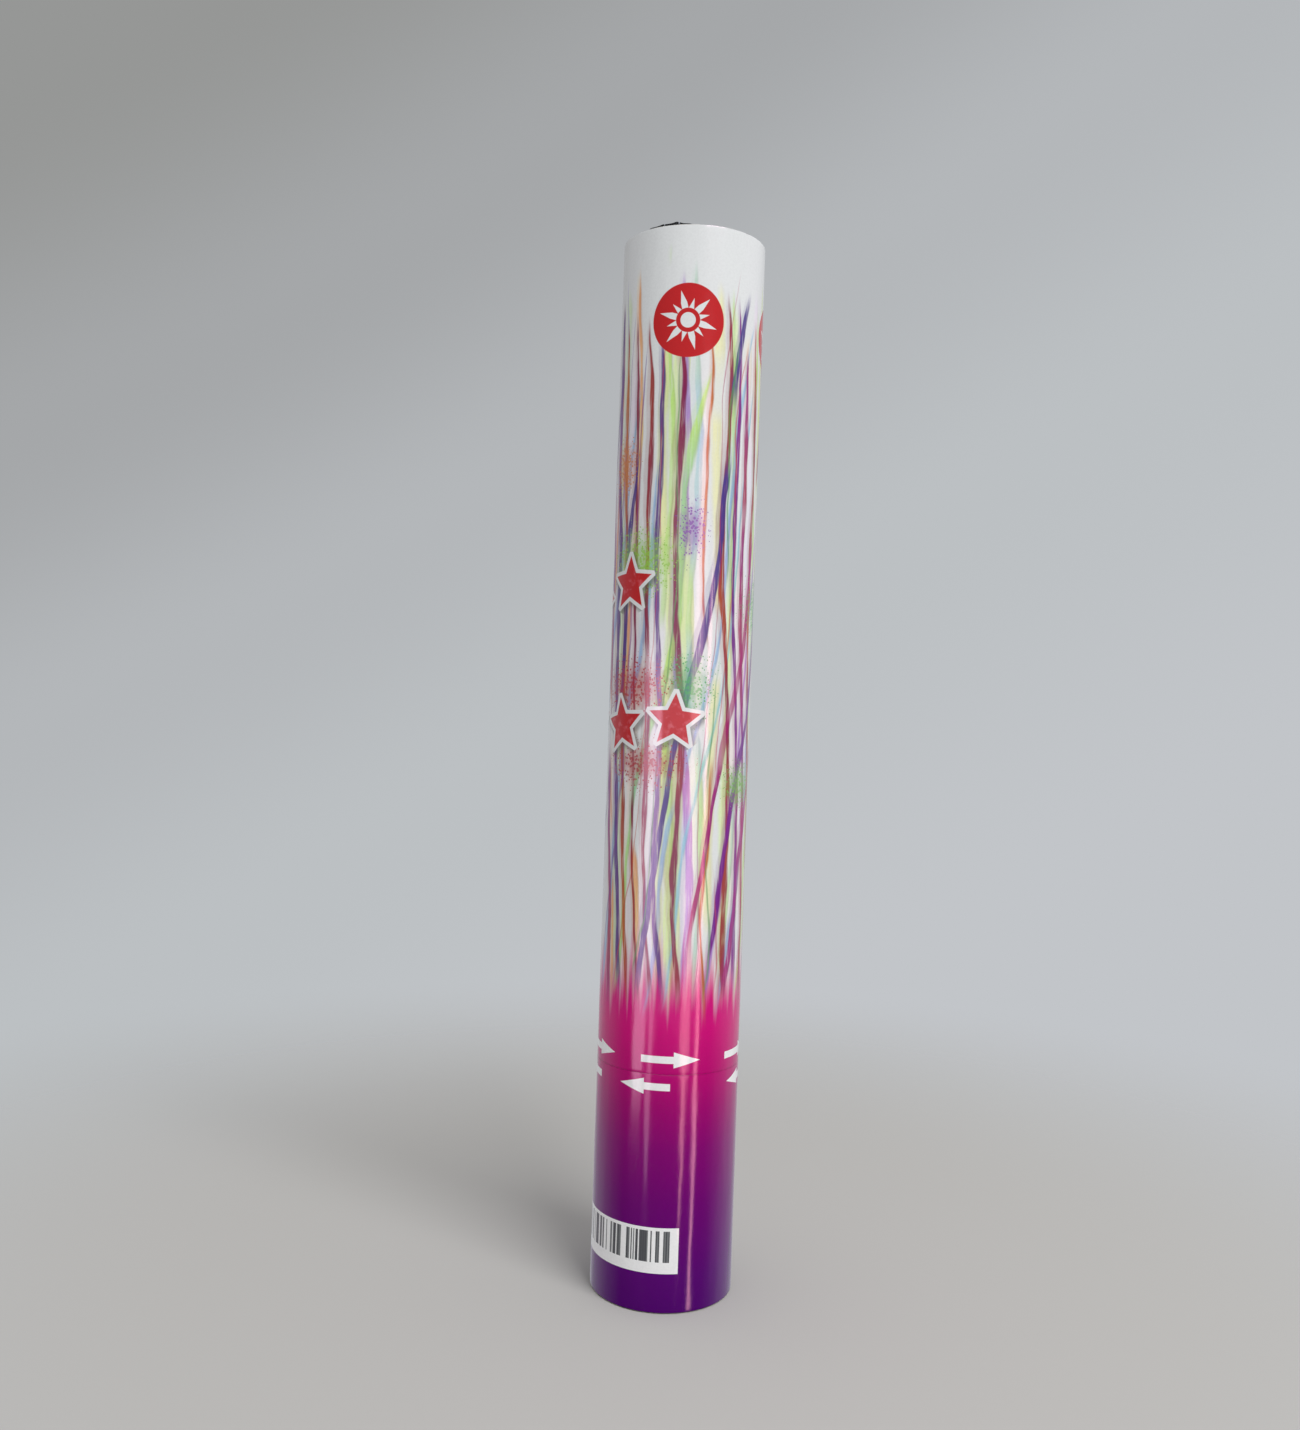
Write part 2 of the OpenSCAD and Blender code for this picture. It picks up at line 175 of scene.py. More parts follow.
def rounded(points, radii, steps=5):
    """Closed outline with its corners rounded.

    Each corner becomes a quadratic Bezier curve: it starts and ends its radius away along the two
    sides, at most 0.45 of a side, and is pulled by the corner itself.
    """
    most_share = 0.45
    points = np.asarray(points, float)
    radii = np.broadcast_to(np.asarray(radii, float), (len(points),))
    sides = []
    for other in (np.roll(points, 1, 0), np.roll(points, -1, 0)):
        span = other - points
        length = np.linalg.norm(span, axis=1)
        reach = np.minimum(radii, length * most_share)
        sides.append(points + span * (reach / length)[:, None])
    t = np.linspace(0, 1, steps)[None, :, None]
    start, end, corner = sides[0][:, None], sides[1][:, None], points[:, None]
    return ((1 - t) ** 2 * start + 2 * t * (1 - t) * corner + t ** 2 * end).reshape(-1, 2)


def polar(r, bearing, z):
    """Points at distances from the Z axis, bearings in radians and heights, as one array."""
    return np.stack(np.broadcast_arrays(r * np.sin(bearing), -r * np.cos(bearing), z), -1)


def quads(rows, columns, wrap_rows=False, wrap_columns=False):
    """Faces of a grid of points: each cell joins its four corners, and a wrapped side joins round."""
    r = np.arange(rows if wrap_rows else rows - 1)[:, None]
    c = np.arange(columns if wrap_columns else columns - 1)[None, :]
    r2, c2 = (r + 1) % rows, (c + 1) % columns
    return np.stack(
        [r * columns + c, r2 * columns + c, r2 * columns + c2, r * columns + c2], -1).reshape(-1, 4)


def fill(name, points, faces, sharp=35.0, weld=0.0):
    """Mesh object from points in millimetres and four-cornered faces.

    With a weld distance, doubles are merged and the normals recalculated, which closes a turned
    shape at its axis and points its faces outwards.
    """
    mesh = bpy.data.meshes.new(name)
    faces = np.asarray(faces, np.int64)
    points = np.asarray(points, float).reshape(-1, 3) / METRE
    mesh.vertices.add(len(points))
    mesh.vertices.foreach_set("co", points.ravel())
    mesh.loops.add(faces.size)
    mesh.loops.foreach_set("vertex_index", faces.ravel())
    mesh.polygons.add(len(faces))
    mesh.polygons.foreach_set("loop_start", np.arange(0, faces.size, 4))
    mesh.update(calc_edges=True)
    if weld:
        cleaned = bmesh.new()
        cleaned.from_mesh(mesh)
        bmesh.ops.remove_doubles(cleaned, verts=cleaned.verts, dist=weld / METRE)
        bmesh.ops.recalc_face_normals(cleaned, faces=cleaned.faces)
        cleaned.to_mesh(mesh)
        cleaned.free()
    mesh.validate()
    mesh.polygons.foreach_set("use_smooth", np.ones(len(mesh.polygons), bool))
    mesh.set_sharp_from_angle(angle=math.radians(sharp))
    piece = bpy.data.objects.new(name, mesh)
    bpy.context.scene.collection.objects.link(piece)
    return piece


def turned(name, outline, steps=144, shift=None):
    """Solid of revolution: each outline point (r, z) goes round the Z axis at even angles.

    shift, a function of the angle and of the points' r and z, moves them a little along r and z.
    """
    angle = np.linspace(0, TURN, steps, endpoint=False)[:, None]
    r, z = (np.broadcast_to(outline[None, :, k], (steps, len(outline))) for k in (0, 1))
    if shift:
        move_r, move_z = shift(angle, r, z)
        r, z = r + move_r, z + move_z
    faces = quads(steps, len(outline), wrap_rows=True, wrap_columns=True)
    return fill(name, polar(r, angle, z), faces, weld=0.002)


def tube_faces(rows, columns, cap):
    """Faces of a closed tube whose rows are rings: the rings joined, and a cap at each end."""
    cap = np.asarray(cap)
    far_cap = (cap + (rows - 1) * columns)[:, ::-1]
    return np.concatenate([quads(rows, columns, wrap_columns=True), cap, far_cap])


def sheet_faces(rows, columns):
    """Faces of a thin closed sheet whose columns run up one side and back down the other."""
    near = np.arange(columns // 2 - 1)
    far = columns - 1 - near
    return tube_faces(rows, columns, np.stack([near, near + 1, far - 1, far], -1))


def seeded_waves(seed, count, low, high):
    """Frequencies, phases and weights of a sum of sines, drawn once from a seed."""
    draw = np.random.default_rng(seed)
    return draw.uniform(low, high, count), draw.uniform(0, TURN, count), draw.uniform(0.4, 1, count)


def dress(piece, finish, body, node):
    """Gives a new piece its material and its body if it rides on one, and hides its CAD node."""
    piece.data.materials.append(finish)
    if body:
        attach(piece, body)
    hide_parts(node)


# Shader nodes


class Signal:
    """A node's output. Sums, products and comparisons on it add Math nodes."""

    def __init__(self, tree, socket):
        self.tree, self.socket = tree, socket

    def __add__(self, other):
        return self.tree.math("ADD", self, other)

    __radd__ = __add__

    def __sub__(self, other):
        return self.tree.math("SUBTRACT", self, other)

    def __rsub__(self, other):
        return self.tree.math("SUBTRACT", other, self)

    def __mul__(self, other):
        return self.tree.math("MULTIPLY", self, other)

    __rmul__ = __mul__

    def __truediv__(self, other):
        return self.tree.math("DIVIDE", self, other)

    def __mod__(self, other):
        return self.tree.math("FLOORED_MODULO", self, other)

    def __abs__(self):
        return self.tree.math("ABSOLUTE", self)

    def __gt__(self, other):
        return self.tree.math("GREATER_THAN", self, other)

    def __lt__(self, other):
        return self.tree.math("LESS_THAN", self, other)

    def floor(self):
        return self.tree.math("FLOOR", self)

    def most(self, other):
        return self.tree.math("MAXIMUM", self, other)

    def rise(self, low, high, to_low=0.0, to_high=1.0, soft=True):
        """Goes from to_low to to_high as the signal goes from low to high."""
        return self.tree.take(
            "ShaderNodeMapRange", {"interpolation_type": "SMOOTHSTEP" if soft else "LINEAR"},
            {0: self, 1: low, 2: high, 3: to_low, 4: to_high})

    def within(self, edge, blur):
        """1 below an edge and 0 above it, with a soft step that reaches blur to either side."""
        return self.rise(edge - blur, edge + blur, 1.0, 0.0)


class Tree:
    """Node tree of a material or world. Its method node makes every node."""

    def __init__(self, nodes):
        self.nodes = nodes
        nodes.nodes.clear()

    def node(self, kind, settings=None, sockets=None):
        """Adds a node. Settings go in first, a ramp's stops among them, then values or links."""
        made = self.nodes.nodes.new(kind)
        for key, value in (settings or {}).items():
            if key == "stops":
                ramp = made.color_ramp.elements
                while len(ramp) < len(value):
                    ramp.new(0.5)
                for stop, (place, colour) in zip(ramp, value):
                    stop.position = place
                    stop.color = (*colour, 1)
            elif key == "ramp_kind":
                made.color_ramp.interpolation = value
            else:
                setattr(made, key, value)
        for key, value in (sockets or {}).items():
            if isinstance(value, Signal):
                self.nodes.links.new(value.socket, made.inputs[key])
            else:
                made.inputs[key].default_value = value
        return made

    def take(self, kind, settings=None, sockets=None, output=0):
        """Adds a node and gives one of its outputs as a signal."""
        return Signal(self, self.node(kind, settings, sockets).outputs[output])

    def math(self, operation, *values):
        return self.take("ShaderNodeMath", {"operation": operation}, dict(enumerate(values)))

    def vector(self, x, y, z):
        return self.take("ShaderNodeCombineXYZ", None, {0: x, 1: y, 2: z})

    def parts(self, kind, whole):
        """The three parts of a vector or colour, by the kind of node that separates it."""
        made = self.node(kind, None, {0: whole})
        return [Signal(self, out) for out in made.outputs[:3]]

    def rays(self, *kinds):
        """Signals that are 1 for rays of the given kinds."""
        made = self.node("ShaderNodeLightPath")
        return [Signal(self, made.outputs[f"Is {kind} Ray"]) for kind in kinds]

    def reach(self, x, y):
        """Distance of a place from the middle of its plane."""
        return self.math("SQRT", x * x + y * y)

    def bearing(self, x, y):
        """Bearing of a place on the object, in radians."""
        return self.math("ARCTAN2", x, 0 - y)

    def noise(self, place, scale=1.0, detail=2.0, **more):
        """Soft noise at a place, given as three coordinates."""
        return self.take(
            "ShaderNodeTexNoise", None,
            {"Vector": self.vector(*place), "Scale": scale, "Detail": detail, **more})

    def mix(self, factor, first, second):
        """Colour between two colours, through the colour sockets of a Mix node."""
        first, second = [(*c, 1) if isinstance(c, tuple) else c for c in (first, second)]
        return self.take(
            "ShaderNodeMix", {"data_type": "RGBA"}, {0: factor, 6: first, 7: second}, output=2)

    def ramp(self, factor, stops, kind="LINEAR"):
        return self.take("ShaderNodeValToRGB", {"ramp_kind": kind, "stops": stops}, {0: factor})

    def draw(self, x, y=0.0, z=0.0):
        """Three random signals for each whole-number place."""
        return self.parts("ShaderNodeSeparateColor", self.take(
            "ShaderNodeTexWhiteNoise", {"noise_dimensions": "3D"}, {0: self.vector(x, y, z)}, "Color"))

    def place(self):
        """Object coordinates in millimetres, as x, y and z."""
        whole = self.take("ShaderNodeTexCoord", output="Object")
        return [part * METRE for part in self.parts("ShaderNodeSeparateXYZ", whole)]

    def bump(self, height, strength, distance):
        return self.take(
            "ShaderNodeBump", None, {"Height": height, "Strength": strength, "Distance": distance})

    def finish(self, **sockets):
        """Principled shader with the given sockets, where underscores stand for spaces."""
        named = {key.replace("_", " "): value for key, value in sockets.items()}
        surface = self.take("ShaderNodeBsdfPrincipled", None, named)
        self.node("ShaderNodeOutputMaterial", None, {"Surface": surface})


def material(name):
    """A new material and the tree to fill it with."""
    made = bpy.data.materials.new(name)
    made.use_nodes = True
    return made, Tree(made.node_tree)


# Printed wrap


def tints(*colours, light):
    """Linear tints from screen colours that all stood under the same light."""
    return [srgb(*colour, light) for colour in colours]


# Tints of the strands, from the palest wash to the darkest core and the thin hairs between them
WASHES = tints(
    (240, 230, 136), (228, 236, 112), (212, 234, 124), (204, 232, 154), (210, 232, 212),
    (208, 222, 238), (226, 212, 234), (242, 214, 196), (238, 228, 150), light=0.8)
STRANDS = tints(
    (218, 226, 68), (232, 202, 78), (226, 150, 78), (216, 112, 92), (206, 92, 150), (166, 90, 190),
    (150, 134, 206), (158, 192, 212), (186, 214, 150), (172, 218, 88), (200, 226, 68), light=0.8)
COOL_STRANDS = tints(
    (206, 92, 168), (166, 90, 190), (146, 128, 206), (128, 184, 212), (124, 206, 160), (176, 218, 88),
    light=0.8)
CORES = tints(
    (128, 24, 72), (158, 52, 42), (190, 104, 44), (172, 72, 40), (160, 34, 78),
    (134, 30, 132), (96, 32, 132), (88, 62, 132), light=0.84)
COOL_CORES = tints(
    (146, 28, 96), (166, 26, 108), (130, 30, 140), (96, 32, 132), (76, 62, 136), light=0.84)
HAIRS = tints(
    (196, 176, 50), (196, 76, 66), (166, 56, 114), (120, 60, 150), (84, 106, 164), (90, 150, 90),
    light=0.86)

# Each layer of strands: its seed, cell width, bend over long and short runs, lean, least and most
# half width, soft edge, lowest and highest start, share of cells in use, how strongly it covers, the
# cover of the paler stroke beside each strand, the height to which it runs down, and its tints. The
# pale layers lie under the fade to the lower part's ground, and the bold ones run on over it.
PALE_LAYERS = [
    {"seed": 3.0, "pitch": 4.6, "bend": (8.0, 1.0), "lean": 0.02, "width": (2.4, 5.6), "soft": 1.0,
     "top": (272.0, 293.0), "use": 0.72, "strength": 0.6, "side": 0.0, "foot": 78.0, "tints": WASHES},
    {"seed": 12.0, "pitch": 3.5, "bend": (9.0, 1.4), "lean": 0.03, "width": (0.9, 2.2), "soft": 0.45,
     "top": (272.0, 296.0), "use": 0.66, "strength": 0.8, "side": 0.26, "foot": 78.0, "tints": STRANDS},
]
BOLD_LAYERS = [
    {"seed": 58.0, "pitch": 6.4, "bend": (17.0, 2.0), "lean": -0.15, "width": (0.9, 2.2), "soft": 0.5,
     "top": (225.0, 288.0), "use": 0.56, "strength": 0.8, "side": 0.26, "foot": 76.0, "tints": COOL_STRANDS},
    {"seed": 24.0, "pitch": 4.4, "bend": (10.0, 1.8), "lean": 0.045, "width": (0.9, 2.2), "soft": 0.36,
     "top": (268.0, 294.0), "use": 0.64, "strength": 0.96, "side": 0.26, "foot": 77.0, "tints": CORES},
    {"seed": 95.0, "pitch": 8.0, "bend": (16.0, 2.2), "lean": -0.17, "width": (0.9, 2.2), "soft": 0.3,
     "top": (215.0, 292.0), "use": 0.6, "strength": 0.96, "side": 0.26, "foot": 79.0, "tints": COOL_CORES},
    {"seed": 37.0, "pitch": 2.6, "bend": (13.0, 2.4), "lean": -0.06, "width": (0.35, 0.8), "soft": 0.24,
     "top": (266.0, 291.0), "use": 0.52, "strength": 0.66, "side": 0.0, "foot": 82.0, "tints": HAIRS},
]


def strand_layer(tree, colour, around, height, chalk, layer):
    """Lays one layer of strands over a colour.

    The distance round the tube is bent by a slow and a quick noise and leaned with the height, then
    cut into cells. Each cell draws its tint, its width, its place and the height at which it starts
    as a point. Slow noises along it make it swell, thin out, break off and drift in tint, one side
    of it is darker, and a paler stroke runs along the other. The chalk signal thins the cover.
    """
    seed, pitch, soft, foot = (layer[key] for key in ("seed", "pitch", "soft", "foot"))
    least, most = layer["width"]
    lowest, highest = layer["top"]
    long_bend, short_bend = layer["bend"]
    point, start_fade, foot_fade, foot_spread = 22.0, 8.0, 12.0, 9.0
    point_share, thin_share, full_share = 0.4, 0.36, 0.7
    most_aside, stroke_gap, tint_drift = 0.4, 1.2, 0.4
    dark_edge = (0.09, 0.02, 0.06)

    def wander(place, apart, run, detail=1.0):
        """Noise that differs from place to place and changes along the height over a run."""
        return tree.noise((place, height / run, seed + apart), detail=detail)

    slow = wander(around / 34, apart=0, run=74, detail=0.0)
    quick = wander(around / 7, apart=5, run=17)
    bent = (slow - 0.5) * long_bend + (quick - 0.5) * short_bend
    across = (around + bent + height * layer["lean"]) / pitch
    cell = across.floor()
    tint, wide, start = tree.draw(cell, seed)
    shown, aside, life = tree.draw(cell, seed + 50)
    top = start * (highest - lowest) + lowest
    swell = wander(cell * 3.7, apart=9, run=16, detail=2.0)
    half = wide * (most - least) + least
    half = half * swell.rise(0.25, 0.75, thin_share, full_share, soft=False)
    half = half * (top - height).rise(0, point, point_share, 1.0, soft=False)
    middle = (aside - 0.5) * most_aside + 0.5
    side = (across - cell - middle) * pitch
    cover = (abs(side) - half).rise(-soft, soft * 0.5, 1.0, 0.0)
    if layer["side"]:
        stroke = abs(side + half * stroke_gap) - half
        cover = cover.most(stroke.rise(-soft, soft, layer["side"], 0.0))
    cover = cover * half.rise(0, soft * 0.8) * chalk
    breaks = wander(cell * 5.1, apart=17, run=52)
    cover = cover * (breaks + life * 0.3).rise(0.42, 0.5) * (shown < layer["use"])
    cover = cover * (height - life * foot_spread).rise(foot, foot + foot_fade)
    cover = cover * (top - height).rise(0, start_fade)
    drift = tint + (wander(cell * 7.3, apart=29, run=44) - 0.5) * tint_drift
    count = len(layer["tints"])
    ink = tree.ramp(drift, [(i / count, c) for i, c in enumerate(layer["tints"])])
    ink = tree.mix((side / (half + 0.2)).rise(-0.2, 1, 0.0, 0.3), ink, dark_edge)
    return tree.mix(cover * layer["strength"], colour, ink)


def nearest(degrees, first, pitch):
    """Degrees from the nearest mark of a row that starts at the first and goes on at the pitch."""
    return (degrees - first + pitch / 2) % pitch - pitch / 2


def arrow(along, across, length, shaft):
    """Cover of an arrow that points along: a bar, then a triangle that narrows to the tip."""
    head, head_half = 7.6, shaft * 1.12
    neck = head * 0.98  # the bar runs a little way into the triangle
    tip = length / 2 - along
    bar = (along > -length / 2) * (tip > neck) * (abs(across) < shaft / 2)
    return bar.most((tip > 0) * (tip < head) * (abs(across) < tip * (head_half / head)))


def star_distance(tree, along, up, radius):
    """Distance outside a five-pointed star, negative inside, from the line of one folded edge."""
    fold, inner_share = TURN / 5, 0.46
    angle = tree.math("ARCTAN2", along, up)
    folded = abs((angle + fold / 2) % fold - fold / 2)
    reach = tree.reach(along, up)
    edge = np.array([inner_share * math.cos(fold / 2) - 1, inner_share * math.sin(fold / 2)])
    normal = np.array([edge[1], -edge[0]]) / np.linalg.norm(edge)
    x, y = reach * tree.math("COSINE", folded), reach * tree.math("SINE", folded)
    return (x - radius) * float(normal[0]) + y * float(normal[1])


def gradient(tree, height):
    """Ground colour of the lower part: violet at the foot, magenta at the turning joint."""
    stops = [(0, (72, 3, 98)), (10, (80, 5, 102)), (30, (101, 2, 103)), (45, (123, 3, 104)),
             (56, (150, 3, 103)), (66, (176, 6, 106)), (78, (198, 12, 114)), (92, (208, 24, 124)),
             (110, (214, 60, 140))]
    top = stops[-1][0]
    foot_light, light_rise = 0.74, 0.001  # the light on the foot, and how it grows with the height
    return tree.ramp(
        height / top, [(z / top, srgb(*colour, foot_light + light_rise * z)) for z, colour in stops])


def badge_ink(tree, colour, degrees, height, look):
    """Round red badges with a plain white burst of rays, three round the tube."""
    left, front, right = -120.0, -4.7, 95.0
    below_rim = 26.5
    rays, hub, gap, blur = 12, 2.125, 3.3, 0.075
    short_ray, longer, taper, widest = 6.2, 2.2, 3.4, 0.88
    centre = (degrees > (front + right) / 2) * (right - front) + front
    centre = centre + (degrees < (left + front) / 2) * (left - front)
    along = (degrees - centre) * ARC
    up = height - (BARREL_HIGH - below_rim)
    reach = tree.reach(along, up)
    disc = reach.within(look.badge_width * METRE / 2, 0.12)
    colour = tree.mix(disc, colour, tuple(look.ink_red))
    turn = tree.math("ARCTAN2", along, up) / TURN * rays
    long_ray = (turn.floor() % 2) > 0.5
    tip = long_ray * longer + short_ray
    half = (tip - reach).rise(0, taper, 0.0, widest, soft=False)
    aside = tree.math("SINE", abs(turn % 1 - 0.5) * (TURN / rays)) * reach
    ray = (aside - half).within(0.0, 0.07) * reach.rise(gap, gap + 2 * blur) * (reach < tip)
    burst = ray.most(reach.within(hub, blur))
    return tree.mix(burst, colour, tuple(look.paper))


def cloud_ink(tree, colour, degrees, height):
    """Sprayed clouds: fine droplets and a haze, thickest at each cloud's middle."""
    # Each cloud: bearing, height, half of its width and of its height, ink
    clouds = [
        (-38, 207, 14, 12, (146, 196, 78)), (5, 172, 9, 12, (78, 168, 100)),
        (-42, 172, 15, 10, (178, 54, 62)), (-30, 151, 15, 8, (170, 60, 70)),
        (4, 216, 5, 10, (132, 74, 164)), (-60, 234, 7, 11, (206, 126, 62)),
        (-128, 188, 18, 15, (146, 196, 78)), (96, 196, 17, 12, (78, 168, 100)),
        (148, 158, 18, 13, (178, 54, 62)), (58, 146, 10, 8, (120, 176, 84))]
    around = degrees * ARC
    drops = tree.take(
        "ShaderNodeTexVoronoi", None,
        {"Vector": tree.vector(around, height, 0.0), "Scale": 1.25, "Randomness": 1.0})
    grain = tree.noise((around, height, 4.0), scale=0.5, detail=3.0)
    for bearing, middle, wide, high, ink in clouds:
        x = (degrees - bearing) * (ARC / wide)
        y = (height - middle) / high
        far = tree.reach(x, y) + (grain - 0.5) * 0.9
        haze = far.rise(0.1, 1.0, 0.6, 0.0)
        dots = (drops + far.rise(0.1, 1.25, 0.0, 0.5, soft=False)).within(0.54, 0.04)
        cover = (dots * 0.9 * far.within(1.15, 0.15)).most(haze)
        colour = tree.mix(cover, colour, srgb(*ink, 0.86))
    return colour


def star_ink(tree, colour, degrees, height, look):
    """Red party stars with a white edge and a soft shadow, in a loose row of two heights.

    The upper row stands five degrees to the right of the lower one and ends one star earlier.
    """
    pitch, first, aside = 48.0, -5.0, 5.0
    lower, apart, scatter = 163.0, 37.0, 3.0
    least, spread, white_edge, blunt_edge = 7.3, 0.7, 1.05, 1.1
    shadow_right, shadow_down, most_tilt = 0.8, 1.0, 0.9
    row = height > lower + apart / 2
    shifted = (degrees - first - row * aside + pitch / 2) / pitch
    cell = shifted.floor()
    size, tilt, drop = tree.draw(cell, row, 3.0)
    along = (shifted - cell - 0.5) * (pitch * ARC)
    up = height - row * apart - lower - (drop - 0.5) * scatter
    lean = (tilt - 0.5) * most_tilt
    sine, cosine = tree.math("SINE", lean), tree.math("COSINE", lean)
    x, y = along * cosine + up * sine, up * cosine - along * sine
    shown = (cell > -3.5) * (cell + row < 0.5)
    radius = size * spread + least
    blunt = (tree.reach(x, y) - radius).within(blunt_edge, 0.1) * shown
    outside = star_distance(tree, x, y, radius)
    shade = star_distance(tree, x - shadow_right, y + shadow_down, radius).rise(0.4, 2.2, 0.6, 0.0)
    colour = tree.mix(shade * blunt, colour, srgb(84, 86, 80))
    colour = tree.mix(outside.within(white_edge, 0.1) * blunt, colour, tuple(look.paper))
    ink_patches_and_joint_shade = tree.noise((along, height, 8.0), scale=0.45, detail=2.0)
    red = tree.mix(ink_patches_and_joint_shade.rise(0.52, 0.72), tuple(look.ink_red), srgb(222, 96, 104))
    return tree.mix(outside.within(0.0, 0.1) * shown, colour, red)


def panel_ink(tree, colour, around, height):
    """White panel with plain upright bars of random widths, which stand for nothing."""
    left, right, low, high = -34.2, 4.3, 10.9, 23.5
    bar = 0.36

    def inside(side, foot, top):
        """Cover of the panel less its margins at both sides, at the foot and at the top."""
        upright = (around > left + side) * (around < right - side)
        return upright * (height > low + foot) * (height < high - top)

    colour = tree.mix(inside(side=0, foot=0, top=0), colour, srgb(236, 238, 242, 0.84))
    pick, tone, _ = tree.draw((around / bar).floor(), 7.0)
    room = inside(side=1.6, foot=3.1, top=0.9)
    ink = tree.mix(tone.rise(0.3, 0.9, 0.0, 0.6), srgb(84, 86, 90), srgb(150, 154, 154))
    return tree.mix((pick > 0.5) * room, colour, ink)


def barrel_ink(tree, ground, degrees, height, look):
    """Strands on white that melt into the lower part's ground, with clouds, stars and badges."""
    fade_low, fade_high, fade_spread = 82.0, 103.0, 36.0
    around = degrees * ARC
    streak = tree.noise((around / 2.1, height / 80, 2.0), detail=2.0)
    fade = (height + (streak - 0.5) * fade_spread).rise(fade_low, fade_high, 1.0, 0.0)
    chalk = tree.noise((around / 0.5, height / 9, 11.0), detail=2.0)
    chalk = chalk.rise(0.28, 0.5, 0.6, 1.0)
    colour = tuple(look.paper)
    for layer in PALE_LAYERS:
        colour = strand_layer(tree, colour, around, height, chalk, layer)
    colour = tree.mix(fade, colour, ground)
    for layer in BOLD_LAYERS:
        colour = strand_layer(tree, colour, around, height, chalk, layer)
    colour = cloud_ink(tree, colour, degrees, height)
    colour = star_ink(tree, colour, degrees, height, look)
    return badge_ink(tree, colour, degrees, height, look)


def print_material(name, barrel, look):
    """Gloss-coated printed paper. Its pattern reads the bearing and height on the tube."""
    made, tree = material(name)
    x, y, height = tree.place()
    degrees = tree.bearing(x, y) * (360 / TURN)
    shaft = look.arrow_thickness * METRE
    ground = gradient(tree, height)
    if barrel:
        above_joint = 4.1
        colour = barrel_ink(tree, ground, degrees, height, look)
        turn = nearest(degrees, first=1.0, pitch=72.0)
        marks = arrow(turn * ARC, height - (JOINT + above_joint), length=16.9, shaft=shaft)
    else:
        below_joint, left, right, border = 3.45, -19.65, 6.0, 27.2
        colour = panel_ink(tree, ground, degrees * ARC, height)
        turn = nearest(degrees, first=(degrees > border) * (right - left) + left, pitch=68.0)
        marks = arrow(turn * -ARC, height - (JOINT - below_joint), length=15.0, shaft=shaft)
    colour = tree.mix(marks, colour, srgb(252, 242, 250, 0.88))
    flecks = tree.noise((x, y, height), scale=1.6, detail=3.0)
    colour = tree.mix(flecks.rise(0.3, 0.75, 0.0, 0.045), colour, (0.0, 0.0, 0.0))
    # Painted shade along the joint between the wraps: the print darkens towards it, broken up by the flecks.
    ink_patches_and_joint_shade = abs(height - JOINT).rise(0.1, 0.7, 0.16, 0.0)
    colour = tree.mix(ink_patches_and_joint_shade * flecks.rise(0.35, 0.6), colour, srgb(110, 20, 80))
    cockle = tree.noise((x / 5, y / 5, height / 21), detail=1.0)
    peel = tree.noise((x, y, height / 3), scale=0.9, detail=1.0)
    tree.finish(
        Base_Color=colour, Roughness=flecks.rise(0.2, 0.8, look.gloss, look.gloss + 0.08),
        Normal=tree.bump(cockle + peel * 0.03, strength=0.5, distance=0.00026),
        IOR=1.7, Specular_Tint=(1.0, 0.66, 0.86, 1))
    return made


class POPPER_OT_wraps(Operator):
    """Rolls the printed paper round both tubes, with its glued lap at the back"""

    bl_idname = "popper.wraps"
    bl_label = "Printed wraps"

    def execute(self, context):
        look = context.scene.popper_print
        for body, seed in (("grip", 5), ("barrel", 6)):
            name, node = body + "_paper", body + "_wrap"
            piece = self.roll(name, node, look, seed)
            ink = print_material(name + "_ink", body == "barrel", look)
            dress(piece, ink, body, node)
        return {"FINISHED"}

    @staticmethod
    def roll(name, node, look, seed):
        """Sheet rolled up once and a lap further.

        The sheet's radius is a constant, plus one thickness that it climbs before the lap, minus a
        ripple: a sum of sines of the angle and height, which dies out towards the lap. The sheet's
        two sides are a thickness apart, and its outer side sinks a little at both ends.
        """
        thick, lap = look.paper_thickness * METRE, look.lap * METRE / BODY_R
        slack, lap_slack, end_sink = 0.006, 0.004, 0.01
        hem, margin, row, past_cad = 0.12, 1.0, 2.2, 0.12
        climb_turn, calm_turn = 0.35, 0.4
        (_, _, low), (_, _, high) = cad(node)
        if node == "barrel_wrap":
            low -= past_cad
        else:
            high += past_cad
        turn = np.linspace(-math.pi - lap, math.pi, 300)[:, None]
        inner_z = np.linspace(low + margin, high - margin, int((high - low) / row) + 2)
        z = np.concatenate([[low, low + hem], inner_z, [high - hem, high]])
        climb = np.clip((turn - (math.pi - lap - climb_turn)) / climb_turn, 0, 1)
        climb = climb * climb * (3 - 2 * climb)
        turns = np.array([2, 3, 3, 5, 5, 7, 9, 11, 13])
        bend, phase, weight = seeded_waves(seed, len(turns), 0.5, 1.0)
        waves = sum(
            w * np.sin(n * turn + p + b * z / 6.5)
            for n, b, p, w in zip(turns, bend, phase, weight)) / weight.sum()
        edge = np.minimum(np.abs(turn + math.pi), np.abs(turn - math.pi))
        calm = np.clip((edge - lap) / calm_turn, 0, 1)
        ripple = look.ripple * METRE * (0.5 - 0.5 * waves) * calm
        outer = BODY_R - thick - slack + climb * (thick + lap_slack) - ripple
        outer = outer - end_sink * (np.abs(z - (low + high) / 2) > (high - low) / 2 - hem / 2)
        points = np.concatenate(
            [polar(outer, turn, z), polar(outer - thick, turn, z)[:, ::-1]], axis=1)
        return fill(name, points, sheet_faces(len(turn), 2 * len(z)), sharp=50)


# Board tubes


